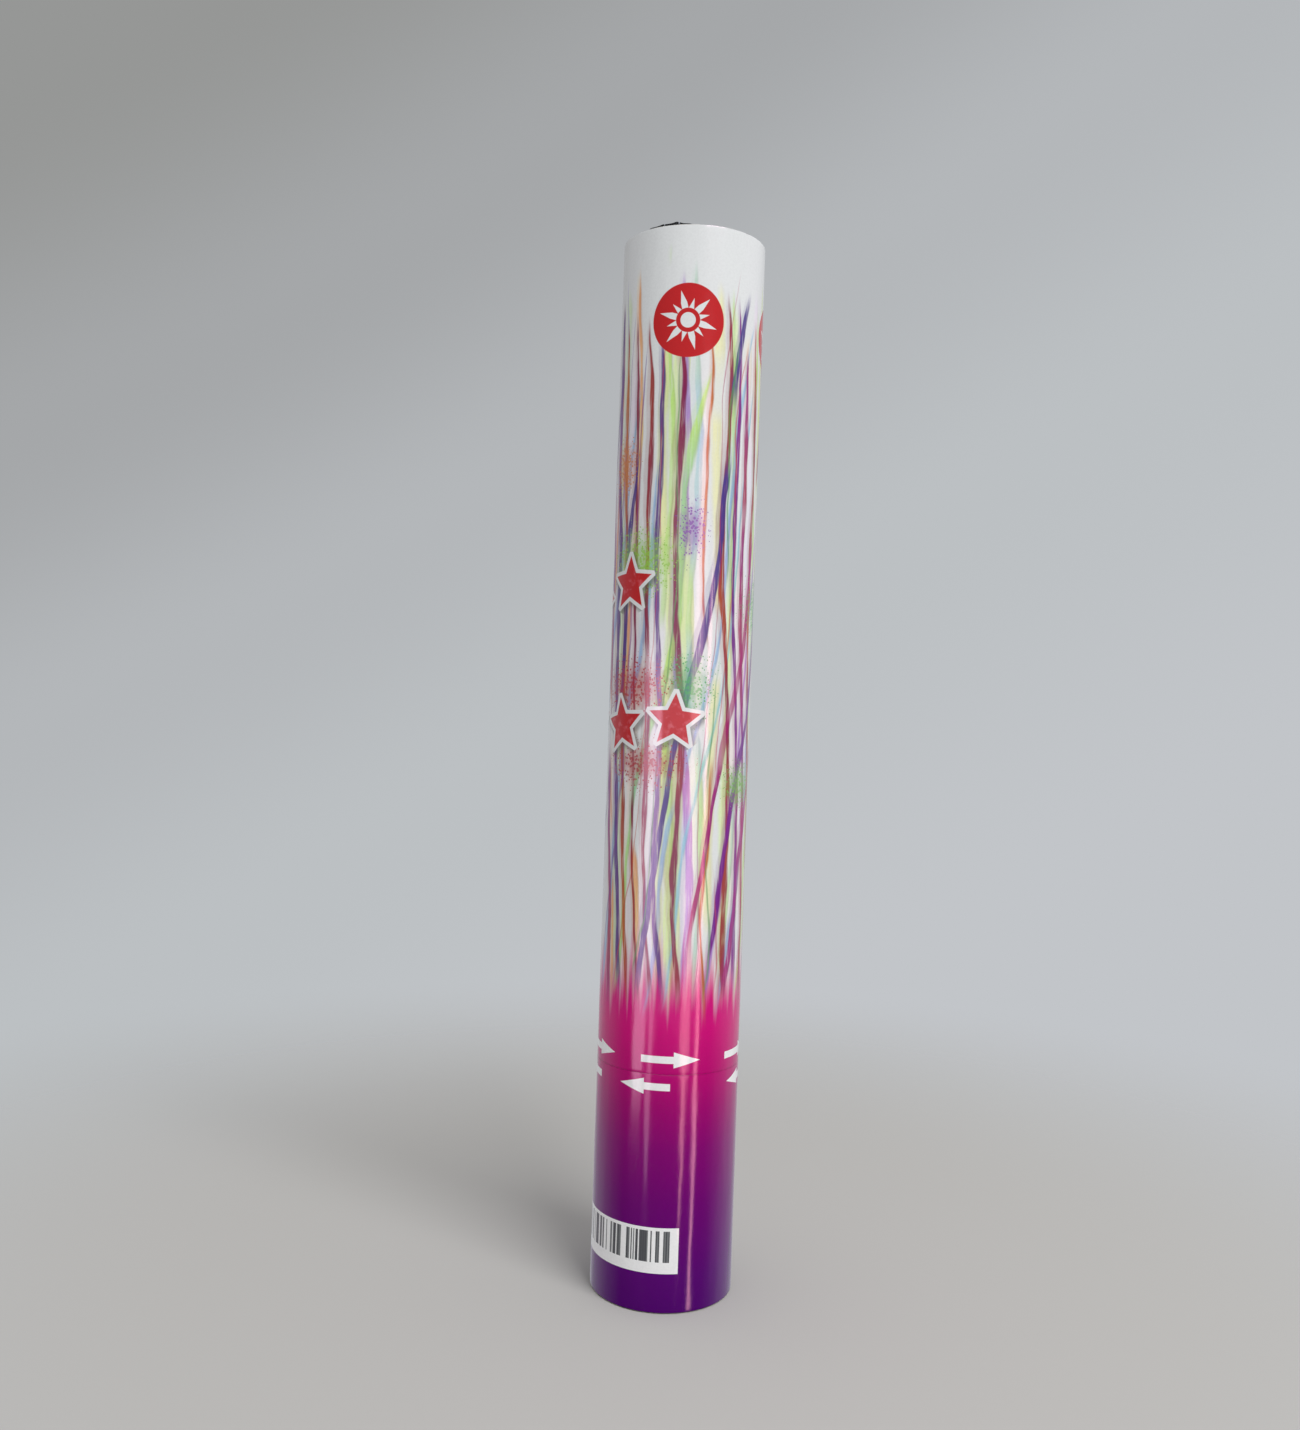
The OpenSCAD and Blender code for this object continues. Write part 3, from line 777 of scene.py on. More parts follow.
def board_material(name, look):
    """Wound grey-brown board: fibres that run round, and plies that show on the cut ends."""
    ply_thickness, strip_width = 0.42, 62.0
    made, tree = material(name)
    x, y, z = tree.place()
    bearing, reach = tree.bearing(x, y), tree.reach(x, y)
    fibre = tree.noise((bearing * 9, z * 1.4, reach * 1.5), scale=1.2, detail=5.0)
    blotch = tree.noise((x, y, z), scale=0.12, detail=2.0)
    ply = abs((reach / ply_thickness + fibre * 0.5) % 1 - 0.5).rise(0.36, 0.5)
    seam = abs((z / strip_width + bearing / TURN) % 1 - 0.5).rise(0.488, 0.5)
    colour = tree.mix(fibre.rise(0.25, 0.8), tuple(look.board), srgb(150, 134, 108))
    colour = tree.mix(blotch.rise(0.3, 0.7, 0.0, 0.25), colour, srgb(214, 204, 182))
    colour = tree.mix(ply * 0.4, colour, srgb(104, 88, 66))
    colour = tree.mix(seam * 0.5, colour, srgb(120, 104, 80))
    tree.finish(
        Base_Color=colour, Roughness=fibre.rise(0, 1, 0.78, 0.95),
        Normal=tree.bump(fibre + ply * 0.5 - seam * 0.4, strength=0.6, distance=0.00008))
    return made


class POPPER_OT_tubes(Operator):
    """Winds the two board tubes and the wad, with rounded and slightly uneven cut ends"""

    bl_idname = "popper.tubes"
    bl_label = "Board tubes and wad"

    def execute(self, context):
        look = context.scene.popper_paper
        board = board_material("wound_board", look)
        paper_room = 0.26  # between the board and the outside of the paper
        board_r, lip = BODY_R - paper_room, look.lip * METRE
        wad_r, wad_edge = cad("wad_disc")[1][0], 0.3
        pieces = (
            ("grip_board", "grip_tube", "grip", BORE_R, board_r, lip, 192),
            ("barrel_board", "barrel_tube", "barrel", BORE_R, board_r, lip, 192),
            ("wad_board", "wad_disc", "payload", 0, wad_r, [0, wad_edge, wad_edge, 0], 128))
        for name, node, body, inside, outside, radii, steps in pieces:
            low, high = (corner[2] for corner in cad(node))
            outline = rounded([(inside, low), (outside, low), (outside, high), (inside, high)], radii)
            piece = turned(name, outline, steps=steps, shift=self.cut(low, high))
            dress(piece, board, body, node)
        return {"FINISHED"}

    @staticmethod
    def cut(low, high):
        """Shift that sinks each cut end by a few hundredths of a millimetre: a constant and two
        sines of the angle, for the points that lie on an end and off the axis."""
        deepest, middle, half = 0.012, (low + high) / 2, (high - low) / 2

        def shift(angle, r, z):
            on_end = (np.abs(z - middle) > 0.999 * half) & (r > 0.1)
            uneven = deepest * (2 + np.sin(5 * angle + 1) + np.sin(13 * angle))
            return 0, -uneven * np.sign(z - middle) * on_end

        return shift


# Moulded pieces


def plastic_material(name, colour, rough=0.38):
    """Moulded satin plastic: faint flow clouding, a fine grain and a little wear on the gloss."""
    made, tree = material(name)
    x, y, z = tree.place()
    cloud = tree.noise((x, y, z), scale=0.09, detail=3.0)
    grain = tree.noise((x, y, z), scale=5.0, detail=2.0)
    scuff = tree.noise((x * 0.6, y * 0.6, z * 4), scale=1.1, detail=3.0)
    deep = tuple(0.8 * c for c in colour)
    shade = tree.mix(cloud.rise(0.3, 0.7, 0.0, 0.3), colour, deep)
    shade = tree.mix(scuff.rise(0.62, 0.75, 0.0, 0.12), shade, (0.8, 0.8, 0.8))
    gloss = cloud.rise(0.3, 0.7, rough - 0.05, rough + 0.07) + scuff.rise(0.55, 0.75, 0.0, 0.12)
    tree.finish(
        Base_Color=shade, Roughness=gloss, Normal=tree.bump(grain, strength=0.25, distance=0.00003))
    return made


def steel_material():
    """Drawn spring wire: bright metal with fine scratches along the coil and a little oil."""
    made, tree = material("drawn_wire")
    x, y, z = tree.place()
    coiled = (tree.bearing(x, y) * 1.5, z * 9, tree.reach(x, y) * 9)
    drawn = tree.noise(coiled, scale=2.0, detail=3.0)
    oil = tree.noise((x, y, z), scale=0.35, detail=2.0)
    colour = tree.mix(oil.rise(0.45, 0.7), srgb(196, 198, 202), srgb(150, 146, 138))
    tree.finish(
        Base_Color=colour, Metallic=1.0,
        Roughness=drawn.rise(0.3, 0.7, 0.2, 0.38) + oil.rise(0.5, 0.8, 0.0, 0.15),
        Normal=tree.bump(drawn, strength=0.3, distance=0.00002))
    return made


class POPPER_OT_mechanism(Operator):
    """Gives the plug, latch, neck, collar, drive ring and plunger their moulded plastics"""

    bl_idname = "popper.mechanism"
    bl_label = "Moulded pieces"

    def execute(self, context):
        white = plastic_material("white_moulding", srgb(226, 226, 220))
        grey = plastic_material("grey_moulding", srgb(158, 162, 166))
        orange = plastic_material("orange_moulding", srgb(232, 120, 34), rough=0.34)
        finishes = {
            "swivel_neck": white, "drive_ring": white, "latch_post": grey, "turn_collar": grey,
            "latch_claws": orange, "plunger": orange}
        for node, finish in finishes.items():
            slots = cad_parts[node].data.materials
            slots.clear()
            slots.append(finish)
        dress(self.plug(), white, "grip", "end_plug")
        return {"FINISHED"}

    @staticmethod
    def plug():
        """End plug, turned from corners of (r, z, rounding): a plate with a recess and a dimple in
        the middle of its underside, a groove near its edge and a thin skirt that stands up."""
        (_, _, foot), (edge, _, top) = cad("end_plug")
        dimple, dimple_z, recess, groove_in, groove_out, chamfer = 1.1, foot + 1.05, 2.5, 10.0, 12.0, 0.5
        deep, plate, skirt = foot + 0.8, foot + 2.0, edge - 1.2
        corners = np.array([
            (0, dimple_z, 0), (dimple, dimple_z, 0.1), (dimple, deep, 0.15), (recess, deep, 0.3),
            (recess, foot, 0.35), (groove_in, foot, 0.35), (groove_in, deep, 0.3), (groove_out, deep, 0.3),
            (groove_out, foot, 0.35), (edge, foot, 0.5), (edge, top - chamfer, 0.3),
            (edge - chamfer, top, 0.3), (skirt, top, 0.35), (skirt, plate, 0.6), (0, plate, 0)])
        return turned("end_plug_moulding", rounded(corners[:, :2], corners[:, 2]))


class POPPER_OT_spring(Operator):
    """Winds the launch spring, which stretches between the barrel's body and the plunger"""

    bl_idname = "popper.spring"
    bl_label = "Launch spring"

    def execute(self, context):
        low, high = cad("launch_spring")
        wire, turns = 0.8, 18
        piece = self.wind(high[0] - wire, wire, turns, low[2] + wire, high[2] - wire)
        dress(piece, steel_material(), None, "launch_spring")
        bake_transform(piece)
        return {"FINISHED"}

    @staticmethod
    def wind(mean, wire, turns, bottom, top):
        """Tube round a helix: the middle line climbs slowly in the first and last turn and evenly
        between, with smooth changes, and each ring of points lies round the wire in the plane of
        the radius and the Z axis. The wire narrows a little at its very ends."""
        steps, sides = 44 * turns + 1, 12
        end_climb, further_climb = 2.2, 3.9
        t = np.linspace(0, turns, steps)
        from_end = np.minimum(t, turns - t)
        rate = end_climb + further_climb * np.clip((from_end - 0.75) / 0.5, 0, 1)
        rise = np.concatenate([[0], np.cumsum((rate[1:] + rate[:-1]) / 2)])
        z = (bottom + (top - bottom) * rise / rise[-1])[:, None]
        around = np.arange(sides) * TURN / sides
        radius = wire * np.clip(from_end / 0.02, 0.55, 1)[:, None]
        bearing = (TURN * (t + 0.25))[:, None]
        points = polar(mean + radius * np.cos(around), bearing, z + radius * np.sin(around))
        cap = [[0, k, k + 1, k + 2] for k in range(1, sides - 2, 2)]
        return fill("spring_wire", points, tube_faces(steps, sides, cap), sharp=60, weld=0.0005)


# Payload


def paper_material(name, colour, banded):
    """Thin coloured paper: cloudy dye and fibres. Slips differ a little from leaf to leaf and are
    softly crumpled; a band's crepe runs across it."""
    made, tree = material(name)
    x, y, z = tree.place()
    deep = tuple(0.7 * c for c in colour)
    pale = tuple(0.6 * c + 0.34 for c in colour)
    dye = tree.noise((x, y, z), scale=0.3, detail=3.0)
    shade = tree.mix(dye.rise(0.3, 0.7, 0.0, 0.35), colour, deep)
    if banded:
        height = tree.noise((tree.bearing(x, y) * 30, z / 9, 1.0), detail=3.0)
        shade = tree.mix(height.rise(0.35, 0.7, 0.0, 0.4), shade, deep)
    else:
        leaf = tree.take("ShaderNodeAttribute", {"attribute_name": "leaf"}, output="Fac")
        light = tree.draw(leaf, 2.0)[0]
        shade = tree.mix(light.rise(0.5, 1, 0.0, 0.3), shade, pale)
        shade = tree.mix(light.rise(0, 0.5, 0.4, 0.0), shade, deep)
        height = tree.noise((x + leaf * 3, y, z * 0.6), scale=0.5, detail=2.0) * 4
    fibre = tree.noise((x, y, z * 0.5), scale=2.2, detail=4.0)
    shade = tree.mix(fibre.rise(0.55, 0.8, 0.0, 0.2), shade, pale)
    tree.finish(
        Base_Color=shade, Roughness=fibre.rise(0.2, 0.8, 0.7, 0.9), Sheen_Weight=0.15,
        Normal=tree.bump(fibre * 0.6 + height, strength=0.5, distance=0.00008))
    return made


SLIP_COLOURS = {
    "red": (206, 32, 44), "orange": (240, 130, 36), "yellow": (246, 216, 52),
    "green": (84, 178, 76), "blue": (44, 108, 200), "pink": (238, 96, 160)}
ROLL_COLOURS = {
    "pink": (240, 104, 164), "yellow": (246, 218, 64), "blue": (52, 140, 208),
    "green": (112, 190, 84), "red": (214, 44, 50)}


class POPPER_OT_confetti(Operator):
    """Lays tissue slips into the stacks that the frame's confetti solids mark out"""

    bl_idname = "popper.confetti"
    bl_label = "Confetti stacks"

    rows, columns = 7, 6  # points along a leaf and round it

    def execute(self, context):
        pitch = context.scene.popper_paper.slip_thickness * METRE
        for index, (colour, tone) in enumerate(SLIP_COLOURS.items()):
            node = "confetti_" + colour
            points, faces, count = [], [], 0
            for tier, (low, high) in enumerate(self.stack_boxes(node)):
                made, joined = self.stack(low, high, pitch, 40 + index * 7 + tier)
                points.append(made)
                faces.append(joined + count)
                count += len(made)
            piece = fill("slips_" + colour, np.concatenate(points), np.concatenate(faces), sharp=60)
            leaf = piece.data.attributes.new("leaf", "FLOAT", "POINT")
            place = np.arange(count, dtype=np.float32) // (self.rows * self.columns)
            leaf.data.foreach_set("value", place)
            paper = paper_material("tissue_" + colour, srgb(*tone), False)
            dress(piece, paper, "payload", node)
        return {"FINISHED"}

    @staticmethod
    def stack_boxes(node):
        """Lowest and highest corner of each stack of a node, from its mesh's levels in pairs."""
        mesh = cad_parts[node].data
        corners = np.zeros(len(mesh.vertices) * 3, np.float32)
        mesh.vertices.foreach_get("co", corners)
        corners = corners.reshape(-1, 3).astype(float) * METRE
        for low, high in np.unique(np.round(corners[:, 2], 2)).reshape(-1, 2):
            inside = corners[(corners[:, 2] > low - 0.1) & (corners[:, 2] < high + 0.1)]
            yield inside.min(0), inside.max(0)

    def stack(self, low, high, pitch, seed):
        """Thin closed leaves side by side in a box.

        A leaf's middle plane waves along its length and across its width by a sine; the leaf is a
        little shorter and narrower than the box, by its own draw, and turned within what it is
        narrower. The stack is pinched where a sine along its length is high.
        """
        size = high - low
        thin, wide = (0, 1) if size[0] < size[1] else (1, 0)
        count = int(size[thin] / pitch)
        step = size[thin] / count
        half_thick = 0.27 * step
        least_trim, width_trim, length_trim = 0.05, 0.75, 1.3
        wave_height, bow_height = 0.032 * step / 0.28, 0.02
        draw = np.random.default_rng(seed)
        along = np.linspace(0, 1, self.rows)[None, :, None]
        across = np.array([0, 0.5, 1, 1, 0.5, 0])[None, None, :]
        side = np.array([1, 1, 1, -1, -1, -1])[None, None, :]
        pick = [draw.uniform(0, 1, count)[:, None, None] for _ in range(7)]
        trim_w = least_trim + width_trim * pick[0] ** 2
        trim_l = least_trim + length_trim * pick[1] ** 2
        skew = (pick[2] - 0.5) * 1.9 * trim_w * (2 * along - 1)
        w = low[wide] + trim_w + across * (size[wide] - 2 * trim_w) + skew
        z = low[2] + trim_l * pick[3] + along * (size[2] - trim_l)
        wave = wave_height * np.sin(TURN * (along * (1 + pick[4]) + pick[5]))
        bow = bow_height * np.cos(math.pi * across) * np.sin(math.pi * along + TURN * pick[6])
        middle = low[thin] + (np.arange(count)[:, None, None] + 0.5) * step
        pinch, pinch_place = draw.uniform(0.3, 1, 2)
        squeeze = np.sin(math.pi * (0.15 + 0.7 * along) + 0.5 * (pinch_place - 0.65)) ** 2
        centre = (low[thin] + high[thin]) / 2
        t = centre + (middle - centre) * (1 - 0.12 * pinch * squeeze) + wave + bow + side * half_thick
        points = np.zeros((count, self.rows, self.columns, 3))
        points[..., thin] = np.clip(t, low[thin], high[thin])
        points[..., wide], points[..., 2] = w, z
        faces = sheet_faces(self.rows, self.columns)
        if thin == 0:
            faces = faces[:, ::-1]
        first = self.rows * self.columns * np.arange(count)[:, None, None]
        return points.reshape(-1, 3), (faces[None] + first).reshape(-1, 4)


class POPPER_OT_streamers(Operator):
    """Winds each streamer as one band of paper, turn over turn"""

    bl_idname = "popper.streamers"
    bl_label = "Streamer rolls"

    def execute(self, context):
        pitch = context.scene.popper_paper.turn_pitch * METRE
        for index, (colour, tone) in enumerate(ROLL_COLOURS.items()):
            node = f"streamer_{index + 1}"
            (_, _, low), (outside, _, high) = cad(node)
            piece = self.wind("roll_" + colour, low, high, outside, pitch, 70 + index)
            paper = paper_material("streamer_" + colour, srgb(*tone), True)
            dress(piece, paper, "payload", node)
        return {"FINISHED"}

    @staticmethod
    def wind(name, low, high, outside, pitch, seed):
        """Flat band carried along a spiral: the radius grows by one pitch a turn, the band's
        eight-sided section stands upright, each turn sits a little higher or lower by slow sines
        of the turned angle, and the free end lifts off."""
        core, room, end_room, half_thick, bevel = 4.2, 0.3, 0.1, pitch * 0.43, 0.07
        steps_in_turn = 66
        lift, lift_turn, most_sway, edge_share = 0.35, 0.5, 0.1, 0.45
        turns = (outside - core - room) / pitch
        steps = int(turns * steps_in_turn)
        unwound = np.linspace(0, TURN * turns, steps)[:, None]
        start = np.random.default_rng(seed).uniform(0, TURN)
        last = np.clip((unwound - unwound[-1] + lift_turn) / lift_turn, 0, 1)
        radius = core + half_thick + pitch * unwound / TURN + lift * last ** 2
        freq, phase, weight = seeded_waves(seed, 6, 0.1, 0.47)
        sway = sum(w * np.sin(f * unwound + p) for f, p, w in zip(freq, phase, weight))
        sway = most_sway * sway / weight.sum()
        edge, half = edge_share, (high - low) / 2 - end_room
        shoulder = half - bevel
        out = np.array([-edge, edge, 1, 1, edge, -edge, -1, -1]) * half_thick
        up = np.array([half, half, shoulder, -shoulder, -half, -half, -shoulder, shoulder])
        points = polar(radius + out, unwound + start, (low + high) / 2 + up + sway)
        cap = [[0, 1, 2, 7], [7, 2, 3, 6], [6, 3, 4, 5]]
        return fill(name, points, tube_faces(steps, len(up), cap), sharp=50, weld=0.0005)


def foam_material():
    """Fine closed-cell foam: soft white with the cells just showing, and painted shade in the sunk grooves
    between them.
    """
    made, tree = material("cell_foam")
    x, y, z = tree.place()
    cells = tree.take(
        "ShaderNodeTexVoronoi", {"feature": "DISTANCE_TO_EDGE"},
        {"Vector": tree.vector(x, y, z), "Scale": 1.4})
    soft = tree.noise((x, y, z), scale=0.4, detail=2.0)
    # Painted shade: the colour darkens towards the cells' edges, which the bump sinks into grooves.
    colour = tree.mix(cells.rise(0, 0.25, 0.25, 0.0), srgb(238, 239, 243), srgb(196, 200, 210))
    colour = tree.mix(soft.rise(0.4, 0.7, 0.0, 0.2), colour, srgb(220, 222, 230))
    tree.finish(
        Base_Color=colour, Roughness=cells.rise(0, 0.3, 0.85, 0.6), Sheen_Weight=0.2,
        Normal=tree.bump(cells.rise(0, 0.3), strength=0.5, distance=0.0001))
    return made


class POPPER_OT_pad(Operator):
    """Cuts the foam pad between the wad and the confetti"""

    bl_idname = "popper.pad"
    bl_label = "Foam pad"

    def execute(self, context):
        (_, _, low), (edge, _, high) = cad("foam_pad")
        middle = (low + high) / 2
        chamfer, chamfer_height, waist = 0.5, 1.2, 0.35
        long_side, side_steps = 6.0, 14
        outline = rounded(
            [(0, low), (edge - chamfer, low), (edge, low + chamfer_height), (edge - waist, middle),
             (edge, high - chamfer_height), (edge - chamfer, high), (0, high)],
            [0, 0.6, 1.4, 3, 1.4, 0.6, 0], steps=7)
        follow = np.roll(outline, -1, 0)
        far = np.linalg.norm(follow - outline, axis=1) > long_side
        outline = np.concatenate([
            np.linspace(here, there, side_steps if split else 1, endpoint=False)
            for here, there, split in zip(outline, follow, far)])
        piece = turned("pad_foam_disc", outline, steps=120, shift=self.press(edge, low, high))
        dress(piece, foam_material(), "payload", "foam_pad")
        return {"FINISHED"}

    @staticmethod
    def press(edge, low, high):
        """Shift for soft dents: a product of two sines of the angle and radius sinks both faces,
        most at mid radius and not at all near the edge."""
        depth, rim, face = 0.12, 0.7, 0.3

        def shift(angle, r, z):
            height = z - (low + high) / 2
            dent = depth * (1 + np.sin(3 * angle + r / 4) * np.sin(r / 3)) * np.sin(math.pi * r / edge)
            on_face = (np.abs(height) > (high - low) / 2 - face) & (r < edge - rim)
            return 0, -np.sign(height) * dent * on_face

        return shift


# Muzzle film


def film_material():
    """Thin dark metallised film: creased, the creases drawn out up the wall, with painted highlights along
    them.
    """
    made, tree = material("metallised_film")
    x, y, z = tree.place()
    crease = tree.noise((x, y, z * 0.3), scale=0.26, detail=2.0, Roughness=0.5, Distortion=0.5)
    fine = tree.noise((x, y, z * 0.5), scale=1.1, detail=2.0, Distortion=0.6)
    ridge = abs(crease - 0.5)
    height = ridge.rise(0, 0.14, soft=False) + fine * 0.1
    tree.finish(
        # Painted highlight: the base colour is paler along the creases, where they would catch the light.
        Base_Color=tree.mix(ridge.rise(0, 0.03, 0.25, 0.0), srgb(84, 86, 92), srgb(140, 142, 148)),
        Metallic=0.85, Roughness=fine.rise(0.3, 0.7, 0.2, 0.34),
        Normal=tree.bump(height, strength=0.7, distance=0.0006))
    return made


class POPPER_OT_film(Operator):
    """Presses the creased film cup into the muzzle, with one fold standing up at the front"""

    bl_idname = "popper.film"
    bl_label = "Muzzle film"

    # Height of the standing fold round the tube, as shares of the whole fold, by bearing in degrees
    fold_bearings = (-64, -50, -43, -30, -21, -17.5, -14, -10, -6, 2, 14)
    fold_shares = (0, 0.66, 0.76, 0.78, 0.8, 0.84, 0.76, 0.7, 0.64, 0.52, 0)

    def execute(self, context):
        (_, _, low), (edge, _, crest) = cad("muzzle_film")
        clear = 0.25  # of the floor above its CAD solid's lowest face
        piece = self.press(edge, low + clear, BARREL_HIGH, crest)
        dress(piece, film_material(), "film", "muzzle_film")
        return {"FINISHED"}

    def press(self, radius, floor, rim, crest):
        """Cup whose section runs out along the floor, round a corner and up the wall.

        The floor's height is a sum of folded waves, each the distance of a slanted coordinate to
        the nearest half number; the wall's radius shrinks by pleats of the same kind in the
        angle; the edge rises along straight slopes to a low peak at -17.5 degrees. The second side
        lies a film's thickness inside the first.
        """
        thick, sunk, creased, corner = 0.11, 1.28, 1.5, 0.5
        bearing = np.linspace(0, TURN, 300, endpoint=False)[:, None]
        flat = np.linspace(0, 1, 46) ** 0.8
        wall = np.linspace(0, 1, 16)[1:]
        share = np.concatenate([flat, np.ones(len(wall))])[None, :]
        lift = np.concatenate([np.zeros(len(flat)), wall])[None, :]

        def zigzag(turns):
            """Distance to the nearest half number."""
            return np.abs(turns % 1 - 0.5)

        fold = np.interp(
            (np.degrees(bearing) + 180) % 360 - 180, self.fold_bearings, self.fold_shares)
        pleats = 2 * zigzag(27 * bearing / TURN + 0.13 * np.sin(3 * bearing))
        fine_pleats = 2 * zigzag(61 * bearing / TURN + 0.2 * np.sin(5 * bearing))
        edge = rim - sunk - 0.35 * pleats * (1 - fold) + fold * (crest - rim + sunk)
        inset = (0.10 + 0.42 * pleats + 0.16 * fine_pleats) * (0.35 + 0.65 * lift) * (1 - 0.5 * fold)
        r = share * (radius - inset * share ** 6)
        x, y = r * np.sin(bearing), -r * np.cos(bearing)
        draw = np.random.default_rng(12)
        crumple = 0
        for _ in range(11):
            way, size = draw.uniform(0, TURN), draw.uniform(5, 17)
            phase, depth = draw.random(), draw.random()
            slant = (x * math.cos(way) + y * math.sin(way)) / size + phase
            crumple = crumple + (0.25 + depth) * zigzag(slant)
        crumple = crumple - crumple.min()
        crumple = creased * crumple / crumple.max() * (1 - share ** 10)
        z = floor + crumple + lift * (edge - floor) + corner * (1 - lift) ** 3 * share ** 12
        inward = np.clip(lift * 4, 0, 1)
        inner_z = z + thick * (1 - 0.8 * inward)
        inner_z = np.where(lift >= 1, np.minimum(inner_z, z), inner_z)
        inner = polar(r - thick * inward, bearing, inner_z)
        points = np.concatenate([polar(r, bearing, z), inner[:, ::-1]], axis=1)
        return fill(
            "film_cup", points, quads(len(bearing), points.shape[1], wrap_rows=True), sharp=40, weld=0.001)


# Stage


def world_light(ambient):
    """Even grey light, and for the eye and for reflections a soft grey backdrop that is darker at
    the upper left, by direction. Reflections see a dim room on the eye's side."""
    world = bpy.data.worlds.new("studio")
    bpy.context.scene.world = world
    world.use_nodes = True
    tree = Tree(world.node_tree)
    x, y, z = tree.parts(
        "ShaderNodeSeparateXYZ", tree.take("ShaderNodeTexCoord", output="Generated"))
    place = (x * 0.62 - z).rise(-0.65, 0.3, soft=False)
    backdrop = tree.ramp(place, [
        (0.0, srgb(150, 151, 150)), (0.2, srgb(165, 167, 169)), (0.42, srgb(180, 183, 186)),
        (0.65, srgb(188, 192, 195)), (1.0, srgb(194, 197, 201))], "EASE")
    camera, glossy, through = tree.rays("Camera", "Glossy", "Transmission")
    room = tree.mix(y.rise(-0.45, 0.55), (0.02, 0.02, 0.02), backdrop)
    even = tree.take("ShaderNodeBackground", None, {"Color": (0.97, 0.985, 1.0, 1), "Strength": ambient})
    shown = tree.take("ShaderNodeBackground", None, {"Color": tree.mix(glossy, backdrop, room)})
    seen = camera.most(glossy).most(through)
    surface = tree.take("ShaderNodeMixShader", None, {0: seen, 1: even, 2: shown})
    tree.node("ShaderNodeOutputWorld", None, {"Surface": surface})


def floor_material():
    """Plain grey floor that fades out into the backdrop, and that reflections don't see."""
    fade_start, fade_end = 120.0, 420.0
    made, tree = material("studio_floor")
    x, y, _ = tree.place()
    mirrored = tree.rays("Glossy")[0]
    solid = tree.reach(x, y).rise(fade_start, fade_end, 1.0, 0.0) * (1 - mirrored)
    plain = tree.take("ShaderNodeBsdfDiffuse", None, {"Color": (*srgb(197, 195, 192), 1)})
    clear = tree.take("ShaderNodeBsdfTransparent")
    surface = tree.take("ShaderNodeMixShader", None, {0: solid, 1: clear, 2: plain})
    tree.node("ShaderNodeOutputMaterial", None, {"Surface": surface})
    return made


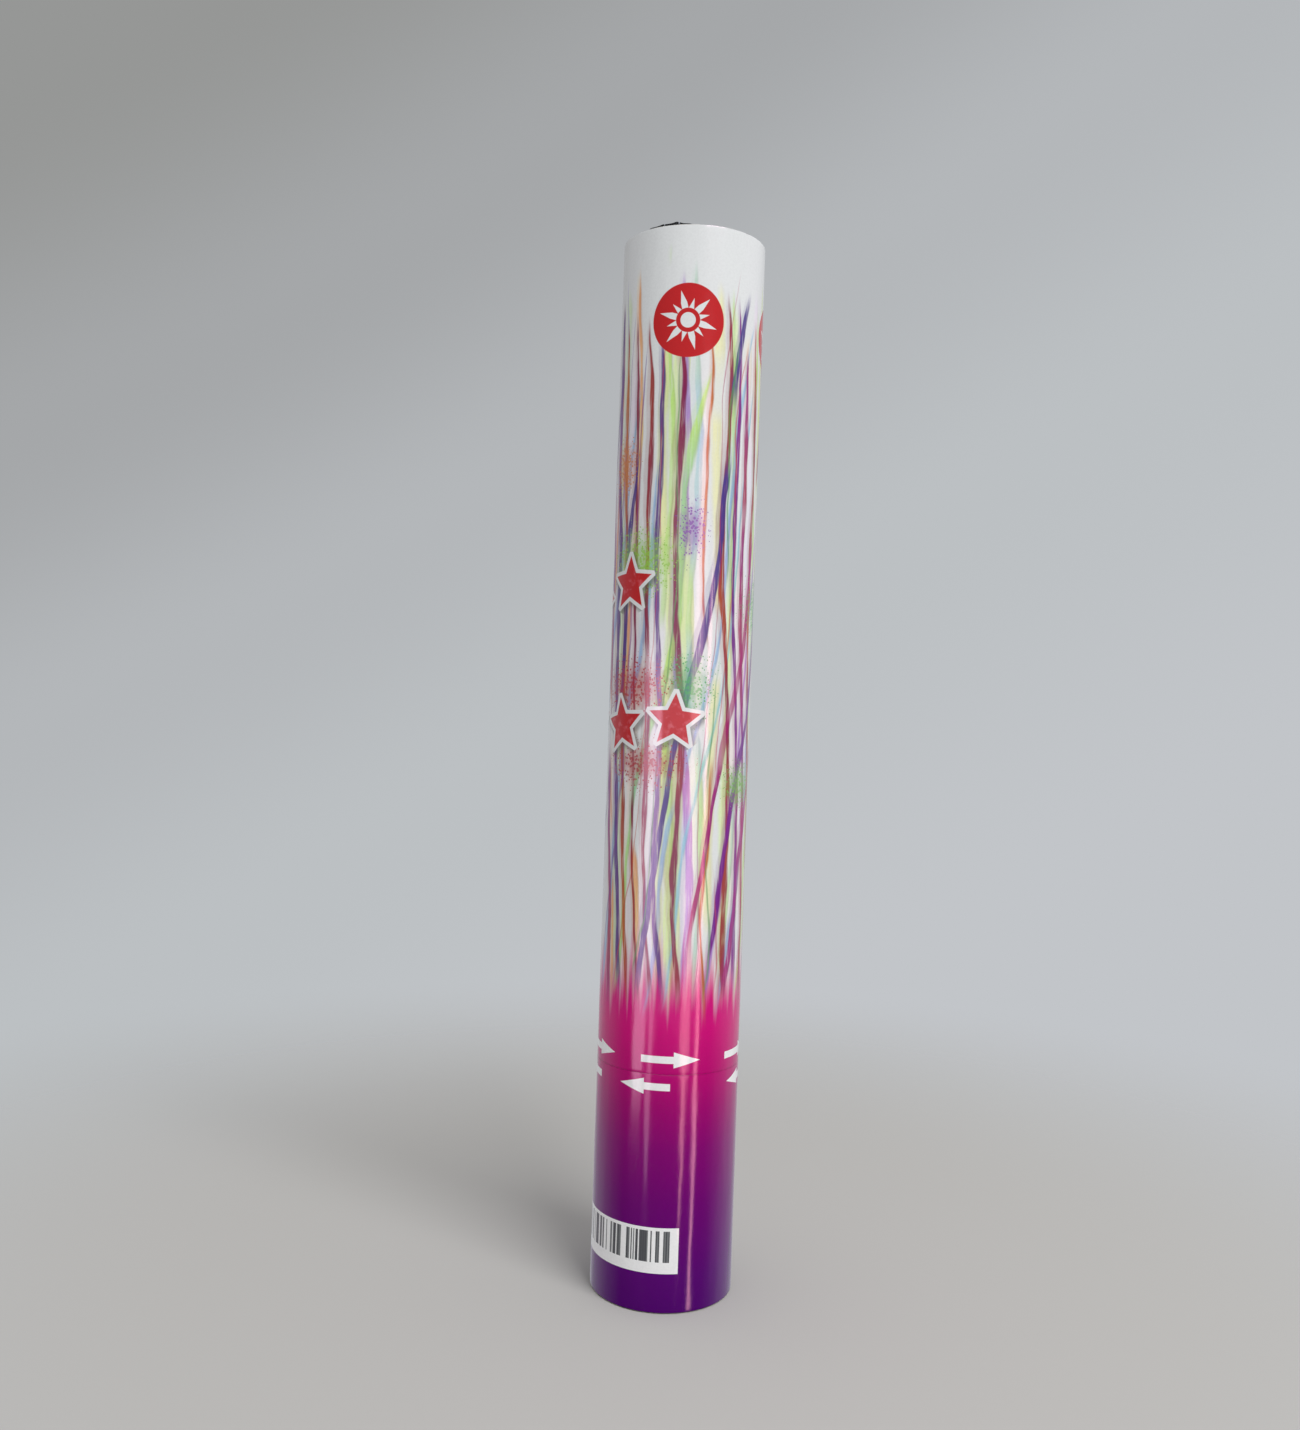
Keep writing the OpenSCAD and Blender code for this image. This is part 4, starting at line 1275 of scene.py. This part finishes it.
class POPPER_OT_stage(Operator):
    """Sets up the floor, backdrop, strip lights and the camera at the photograph's angle"""

    bl_idname = "popper.stage"
    bl_label = "Studio stage"

    # Soft boxes that the gloss mirrors: bearing in degrees, width, lowest and highest end in
    # metres, brightness, colour
    strips = (
        ("box_left", -50.0, 0.26, -0.20, 0.24, 3.0, (1.0, 1.0, 1.0)),
        ("box_near_left", -30.0, 0.11, -0.26, -0.09, 2.3, (1.0, 0.9, 0.95)),
        ("box_high_left", -34.0, 0.2, -0.09, 0.22, 3.6, (1.0, 0.97, 1.0)),
        ("box_wide", -3.0, 1.5, -0.09, 0.42, 1.0, (0.84, 1.0, 0.94)),
        ("box_right", 24.5, 0.22, -0.17, 0.47, 3.4, (1.0, 0.72, 0.62)),
        ("box_near_right", 25.0, 0.06, -0.31, -0.16, 6.0, (1.0, 0.6, 0.52)),
        ("box_far_right", 44.5, 0.08, -0.43, 0.3, 6.5, (1.0, 0.62, 0.6)),
    )
    strip_distance = 0.85

    # Large soft light above at the right, in degrees and metres
    key_bearing, key_distance, key_height, key_aim, key_width = 34.0, 1.45, 1.6, 0.15, 1.1

    def execute(self, context):
        look, scene = context.scene.popper_stage, context.scene
        scene.view_settings.view_transform = "Standard"
        world_light(look.ambient)
        self.floor()
        for name, bearing, width, low, high, bright, colour in self.strips:
            middle, size = (low + high) / 2, (width, high - low)
            power = bright * math.pi * width * (high - low)
            box = self.lamp(scene, name, bearing, self.strip_distance, middle, middle, size, power)
            box.data.color = colour
            box.visible_diffuse = False
        self.lamp(scene, "key", self.key_bearing, self.key_distance, self.key_height, self.key_aim,
                  (self.key_width, self.key_width), look.key_power)
        eye = bpy.data.cameras.new("photo_eye")
        eye.lens, eye.sensor_width, eye.sensor_fit = look.focal_length, 36, "AUTO"
        eye.clip_start, eye.clip_end = 0.01, 20
        camera = bpy.data.objects.new("photo_eye", eye)
        camera.location = (look.eye_side, -look.eye_distance, look.eye_height)
        level, roll = Euler((math.pi / 2, 0, 0)).to_matrix(), Euler((0, 0, look.lean)).to_matrix()
        camera.rotation_euler = (level @ roll).to_euler()
        scene.collection.objects.link(camera)
        scene.camera = camera
        return {"FINISHED"}

    @staticmethod
    def floor():
        """Flat disc of rings, a little under the foot of the tube."""
        rings, sides, sunk = np.array([0.0, 60, 120, 240, 430]), 64, 0.2
        bearing = np.linspace(0, TURN, sides, endpoint=False)[:, None]
        points = polar(rings[None, :], bearing, -sunk)
        floor = fill("studio_floor", points, quads(sides, len(rings), wrap_rows=True), weld=0.01)
        floor.data.materials.append(floor_material())

    @staticmethod
    def lamp(scene, name, bearing, away, height, aim, size, power):
        """Area light at a bearing, distance and height that faces a point on the tube's axis."""
        light = bpy.data.lights.new(name, "AREA")
        light.shape, (light.size, light.size_y) = "RECTANGLE", size
        light.energy = power
        lamp = bpy.data.objects.new(name, light)
        turn = math.radians(bearing)
        lamp.location = (away * math.sin(turn), -away * math.cos(turn), height)
        lamp.rotation_euler = (Vector((0, 0, aim)) - lamp.location).to_track_quat("-Z", "Y").to_euler()
        lamp.visible_camera = False
        scene.collection.objects.link(lamp)
        return lamp


# Add-on

SETTINGS = {
    "popper_print": PrintSettings, "popper_paper": PaperSettings, "popper_stage": StageSettings}
OPERATORS = (
    POPPER_OT_stage, POPPER_OT_wraps, POPPER_OT_tubes, POPPER_OT_mechanism, POPPER_OT_spring,
    POPPER_OT_pad, POPPER_OT_confetti, POPPER_OT_streamers, POPPER_OT_film)


class POPPER_PT_panel(Panel):
    """Sidebar panel with the popper's settings and steps"""

    bl_label = "Confetti popper"
    bl_space_type = "VIEW_3D"
    bl_region_type = "UI"
    bl_category = "Popper"

    def draw(self, context):
        for name, group in SETTINGS.items():
            box = self.layout.box()
            for key in group.__annotations__:
                box.prop(getattr(context.scene, name), key)
        for step in OPERATORS:
            self.layout.operator(step.bl_idname)


def register():
    for group in (*SETTINGS.values(), *OPERATORS, POPPER_PT_panel):
        bpy.utils.register_class(group)
    for name, group in SETTINGS.items():
        setattr(bpy.types.Scene, name, PointerProperty(type=group))


def unregister():
    for name in SETTINGS:
        delattr(bpy.types.Scene, name)
    for group in (POPPER_PT_panel, *reversed(OPERATORS), *SETTINGS.values()):
        bpy.utils.unregister_class(group)


def main():
    register()
    bpy.ops.popper.stage()
    bpy.ops.popper.wraps()
    bpy.ops.popper.tubes()
    bpy.ops.popper.mechanism()
    bpy.ops.popper.spring()
    bpy.ops.popper.pad()
    bpy.ops.popper.confetti()
    bpy.ops.popper.streamers()
    bpy.ops.popper.film()


if __name__ == "__main__":
    main()
